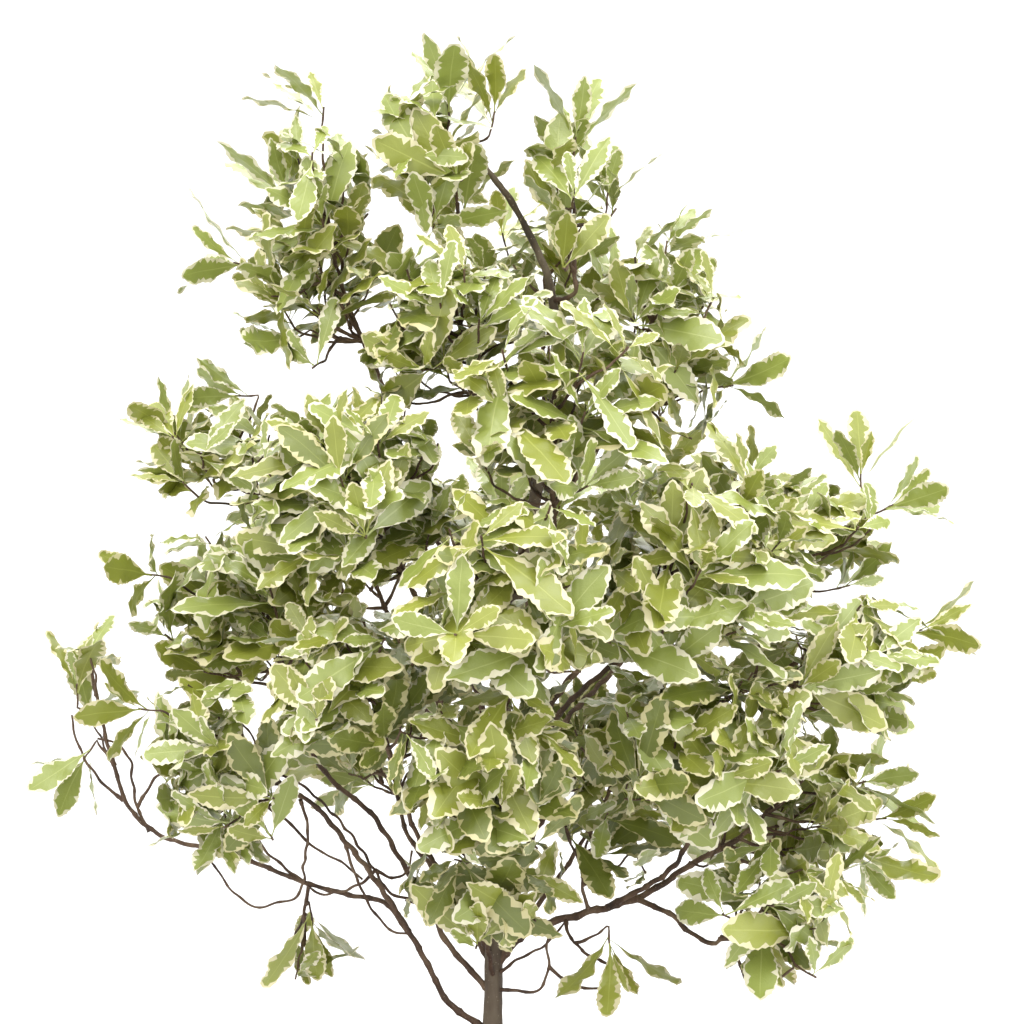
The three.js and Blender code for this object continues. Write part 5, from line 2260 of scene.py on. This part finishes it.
@dataclass
class Soil:
    """The potting soil: a rough domed fill with bark crumbs and white grit on it."""

    pot: Pot
    top: float = 155.0
    dome: float = 5.0
    clear: float = 0.5
    sides: int = 72
    rings: int = 22
    bed_rings: int = 8
    roughness: float = 1.6
    tip: float = 0.6
    lip: float = 4.0
    lip_from: float = 0.93
    lip_width: float = 0.07

    def height(self, share: float) -> float:
        """Returns the height of the dome, which drops at its lip, at a share of its radius."""
        drop = self.lip * max(share - self.lip_from, 0) / self.lip_width
        return self.top + self.dome * (1 - share**2) - drop

    def fill(self) -> Mesh:
        """Makes the closed body of the soil.

        Returns:
            The mesh.
        """
        radius = self.pot.inner(self.top) - self.clear
        shares = [i / self.rings for i in range(self.rings + 1)]
        rows = [(radius * share, self.height(share)) for share in shares]
        levels = np.linspace(self.top - 8, self.pot.floor + 5, 6)
        rows.extend((self.pot.inner(z) - self.clear, z) for z in levels)
        rows.append((0.0, self.pot.floor + 1))
        return round_form("soil_fill", rows, self.sides, True)

    def bench(self, material: Material) -> LayoutBench:
        """Sets out the tree that roughens the soil's top.

        Args:
            material: The soil's finish.

        Returns:
            The tree.
        """
        bench = LayoutBench("soil_lumps", {"Roughness": "Float", "Lump Scale": "Float", "Lowest": "Float"})
        place = bench.position()
        above = bench.add("FunctionNodeCompare", data_type="FLOAT", operation="GREATER_THAN")
        bench.feed(above, A=bench.split(place)["Z"], B="Lowest")
        lumps = bench.noise(place, "Lump Scale", 4.0)
        rise = bench.math("MULTIPLY", bench.math("SUBTRACT", lumps, 0.55), "Roughness")
        shift = bench.add("ShaderNodeCombineXYZ")
        bench.feed(shift, Z=rise)
        bench.step("SetPosition", Selection=bench.out(above), Offset=bench.out(shift))
        bench.step("SetShadeSmooth", Shade_Smooth=True)
        bench.step("RealizeInstances")
        bench.paint(material)
        return bench

    def crumb_bench(self, material: Material) -> LayoutBench:
        """Sets out the tree that strews crumbs over a surface.

        Args:
            material: The crumbs' finish.

        Returns:
            The tree.
        """
        inputs = {
            "Density": "Float", "Seed": "Int", "Smallest": "Vector", "Largest": "Vector",
            "Ripple": "Float",
        }
        bench = LayoutBench("crumb_strew", inputs)
        bench.step("DistributePointsOnFaces", "Mesh", Density="Density", Seed="Seed")
        crumb = bench.add("GeometryNodeMeshIcoSphere")
        bench.feed(crumb, Radius=1.0, Subdivisions=1)
        size = bench.add("FunctionNodeRandomValue", data_type="FLOAT_VECTOR")
        bench.feed(size, Min="Smallest", Max="Largest", Seed="Seed")
        turn = bench.add("FunctionNodeRandomValue", data_type="FLOAT_VECTOR")
        bench.feed(turn, Min=(-self.tip, -self.tip, 0.0), Max=(self.tip, self.tip, ROUND))
        euler = bench.add("FunctionNodeEulerToRotation")
        bench.feed(euler, Euler=bench.out(turn))
        bench.step(
            "InstanceOnPoints", "Points",
            Instance=bench.out(crumb), Rotation=bench.out(euler), Scale=bench.out(size),
        )
        bench.step("RealizeInstances")
        bench.ripple("Ripple", 420.0)
        bench.step("SetShadeSmooth", Shade_Smooth=False)
        bench.paint(material)
        return bench

    def bed(self) -> Mesh:
        """Makes the round patch of the soil's top that crumbs lie on.

        Returns:
            The mesh.
        """
        radius = self.pot.inner(self.top) - 6
        shares = [i / self.bed_rings for i in range(self.bed_rings + 1)]
        rows = [(radius * share, self.height(share * 0.95)) for share in shares]
        return round_form("crumb_bed", rows, self.sides, True)

    def build(self) -> None:
        """Makes the soil, its crumbs and its grit."""
        earth = GritFinish("potting_soil", "1f1510", "3a2a1f", "5a4432").material()
        values = {"Roughness": self.roughness * 2 * MM, "Lump Scale": 130.0, "Lowest": (self.top - 1.5) * MM}
        mount(self.bench(earth).piece("potting_soil", self.fill(), values), ["soil"])
        bark = GritFinish("bark_crumbs", "2b1d14", "57402c", "80654a", scale=220)
        grit = GritFinish("white_grit", "b9b3a6", "d9d5ca", "efece4", scale=300)
        strewn = {
            "soil_crumbs": (bark, 26000.0, 11, 0.0012, (0.0012, 0.0009, 0.0005), (0.0042, 0.0026, 0.0013)),
            "soil_grit": (grit, 2600.0, 29, 0.0006, (0.0008, 0.0008, 0.0007), (0.0017, 0.0016, 0.0013)),
        }
        labels = ("Density", "Seed", "Ripple", "Smallest", "Largest")
        for name, (finish, *numbers) in strewn.items():
            bench = self.crumb_bench(finish.material())
            mount(bench.piece(name, self.bed(), dict(zip(labels, numbers))), [])


def mount(piece: bpy.types.Object, nodes: list[str]) -> None:
    """Tells what a piece rides on and which solids it stands for, and logs its triangles and finishes.

    Args:
        piece: The finished piece.
        nodes: The solids that it replaces.
    """
    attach(piece, "root")
    if nodes:
        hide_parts(*nodes)
    count = sum(len(p.vertices) - 2 for p in piece.data.polygons)
    LOG.info("%s: %d triangles, %d finishes, stands for %d solids", piece.name, count,
             len(piece.data.materials), len(nodes))


# The studio


@dataclass
class Studio:
    """A seamless white sweep, soft lights and the camera."""

    floor_half: float = 30.0
    wall_at: float = 3.2
    wall_height: float = 6.0
    bend: float = 1.6
    bend_steps: int = 16
    target: Point = (0.011, 0.0, 0.538)
    eye: Point = (0.011, -1.44305, 0.68967)
    lens: float = 85.0
    world_strength: float = 1.5

    def sweep(self) -> None:
        """Makes the floor, which bends up into the back wall."""
        rows = [(-self.floor_half, 0.0), (self.wall_at - self.bend, 0.0)]
        for i in range(1, self.bend_steps + 1):
            turn = math.pi / 2 * i / self.bend_steps
            y = self.wall_at - self.bend + self.bend * math.sin(turn)
            rows.append((y, self.bend * (1 - math.cos(turn))))
        rows.append((self.wall_at, self.wall_height))
        points = []
        for y, z in rows:
            points.extend([(-self.floor_half, y, z), (self.floor_half, y, z)])
        faces = [(2 * i, 2 * i + 1, 2 * i + 3, 2 * i + 2) for i in range(len(rows) - 1)]
        mesh = mesh_from("studio_sweep", np.array(points), faces)
        mesh.shade_smooth()
        mesh.materials.append(StudioFinish().material())
        placed("studio_sweep", mesh)

    def aimed(self, holder: bpy.types.Object, at: Point, aim: Point) -> None:
        """Puts a light or the camera in its place and points it."""
        holder.location = at
        holder.rotation_euler = (Vector(aim) - Vector(at)).to_track_quat("-Z", "Y").to_euler()

    def lamp(self, name: str, at: Point, aim: Point, size: float, power: float, colour: Point) -> None:
        """Hangs a soft square light.

        Args:
            name: The light's name.
            at: Where it hangs, in metres.
            aim: What it points at.
            size: The length of its side.
            power: Its power in watts.
            colour: Its colour.
        """
        light = bpy.data.lights.new(name, "AREA")
        light.shape = "SQUARE"
        light.size = size
        light.energy = power
        light.color = colour
        self.aimed(placed(name, light), at, aim)

    def build(self) -> None:
        """Sets up the studio."""
        scene = bpy.context.scene
        world = bpy.data.worlds.new("studio_air")
        world.use_nodes = True
        back = world.node_tree.nodes["Background"]
        back.inputs["Color"].default_value = (1, 1, 1, 1)
        back.inputs["Strength"].default_value = self.world_strength
        scene.world = world
        self.sweep()
        middle = (0, 0, 0.5)
        self.lamp("key_light", (-0.9, -1.1, 2.5), middle, size=1.2, power=24, colour=(1, 0.98, 0.93))
        self.lamp("fill_light", (1.7, -0.9, 1.8), middle, size=1.6, power=20, colour=(0.97, 0.99, 1))
        self.lamp("back_light", (0.3, 1.7, 2.1), middle, size=1.6, power=28, colour=(1, 1, 0.97))
        self.lamp("wall_light", (0, 0.9, 2.4), (0, 3.2, 1.0), size=2.4, power=80, colour=(1, 1, 1))
        scene.view_settings.view_transform = "Standard"
        scene.view_settings.look = "None"
        camera = bpy.data.cameras.new("studio_camera")
        camera.lens = self.lens
        camera.sensor_width = 36
        camera.clip_end = 50
        scene.camera = placed("studio_camera", camera)
        self.aimed(scene.camera, self.eye, self.target)


def main() -> None:
    """Builds the potted plant and the studio."""
    logging.basicConfig(level=logging.INFO, format="%(message)s")
    crown = Crown()
    crown.grow()
    LOG.info("%d limbs, %d twigs, %d leaves", len(crown.limbs), len(crown.twigs), len(crown.leaves))
    Foliage(crown).build()
    Woodwork(crown).build()
    pot = Pot()
    pot.build()
    Soil(pot).build()
    Studio().build()


if __name__ == "__main__":
    main()
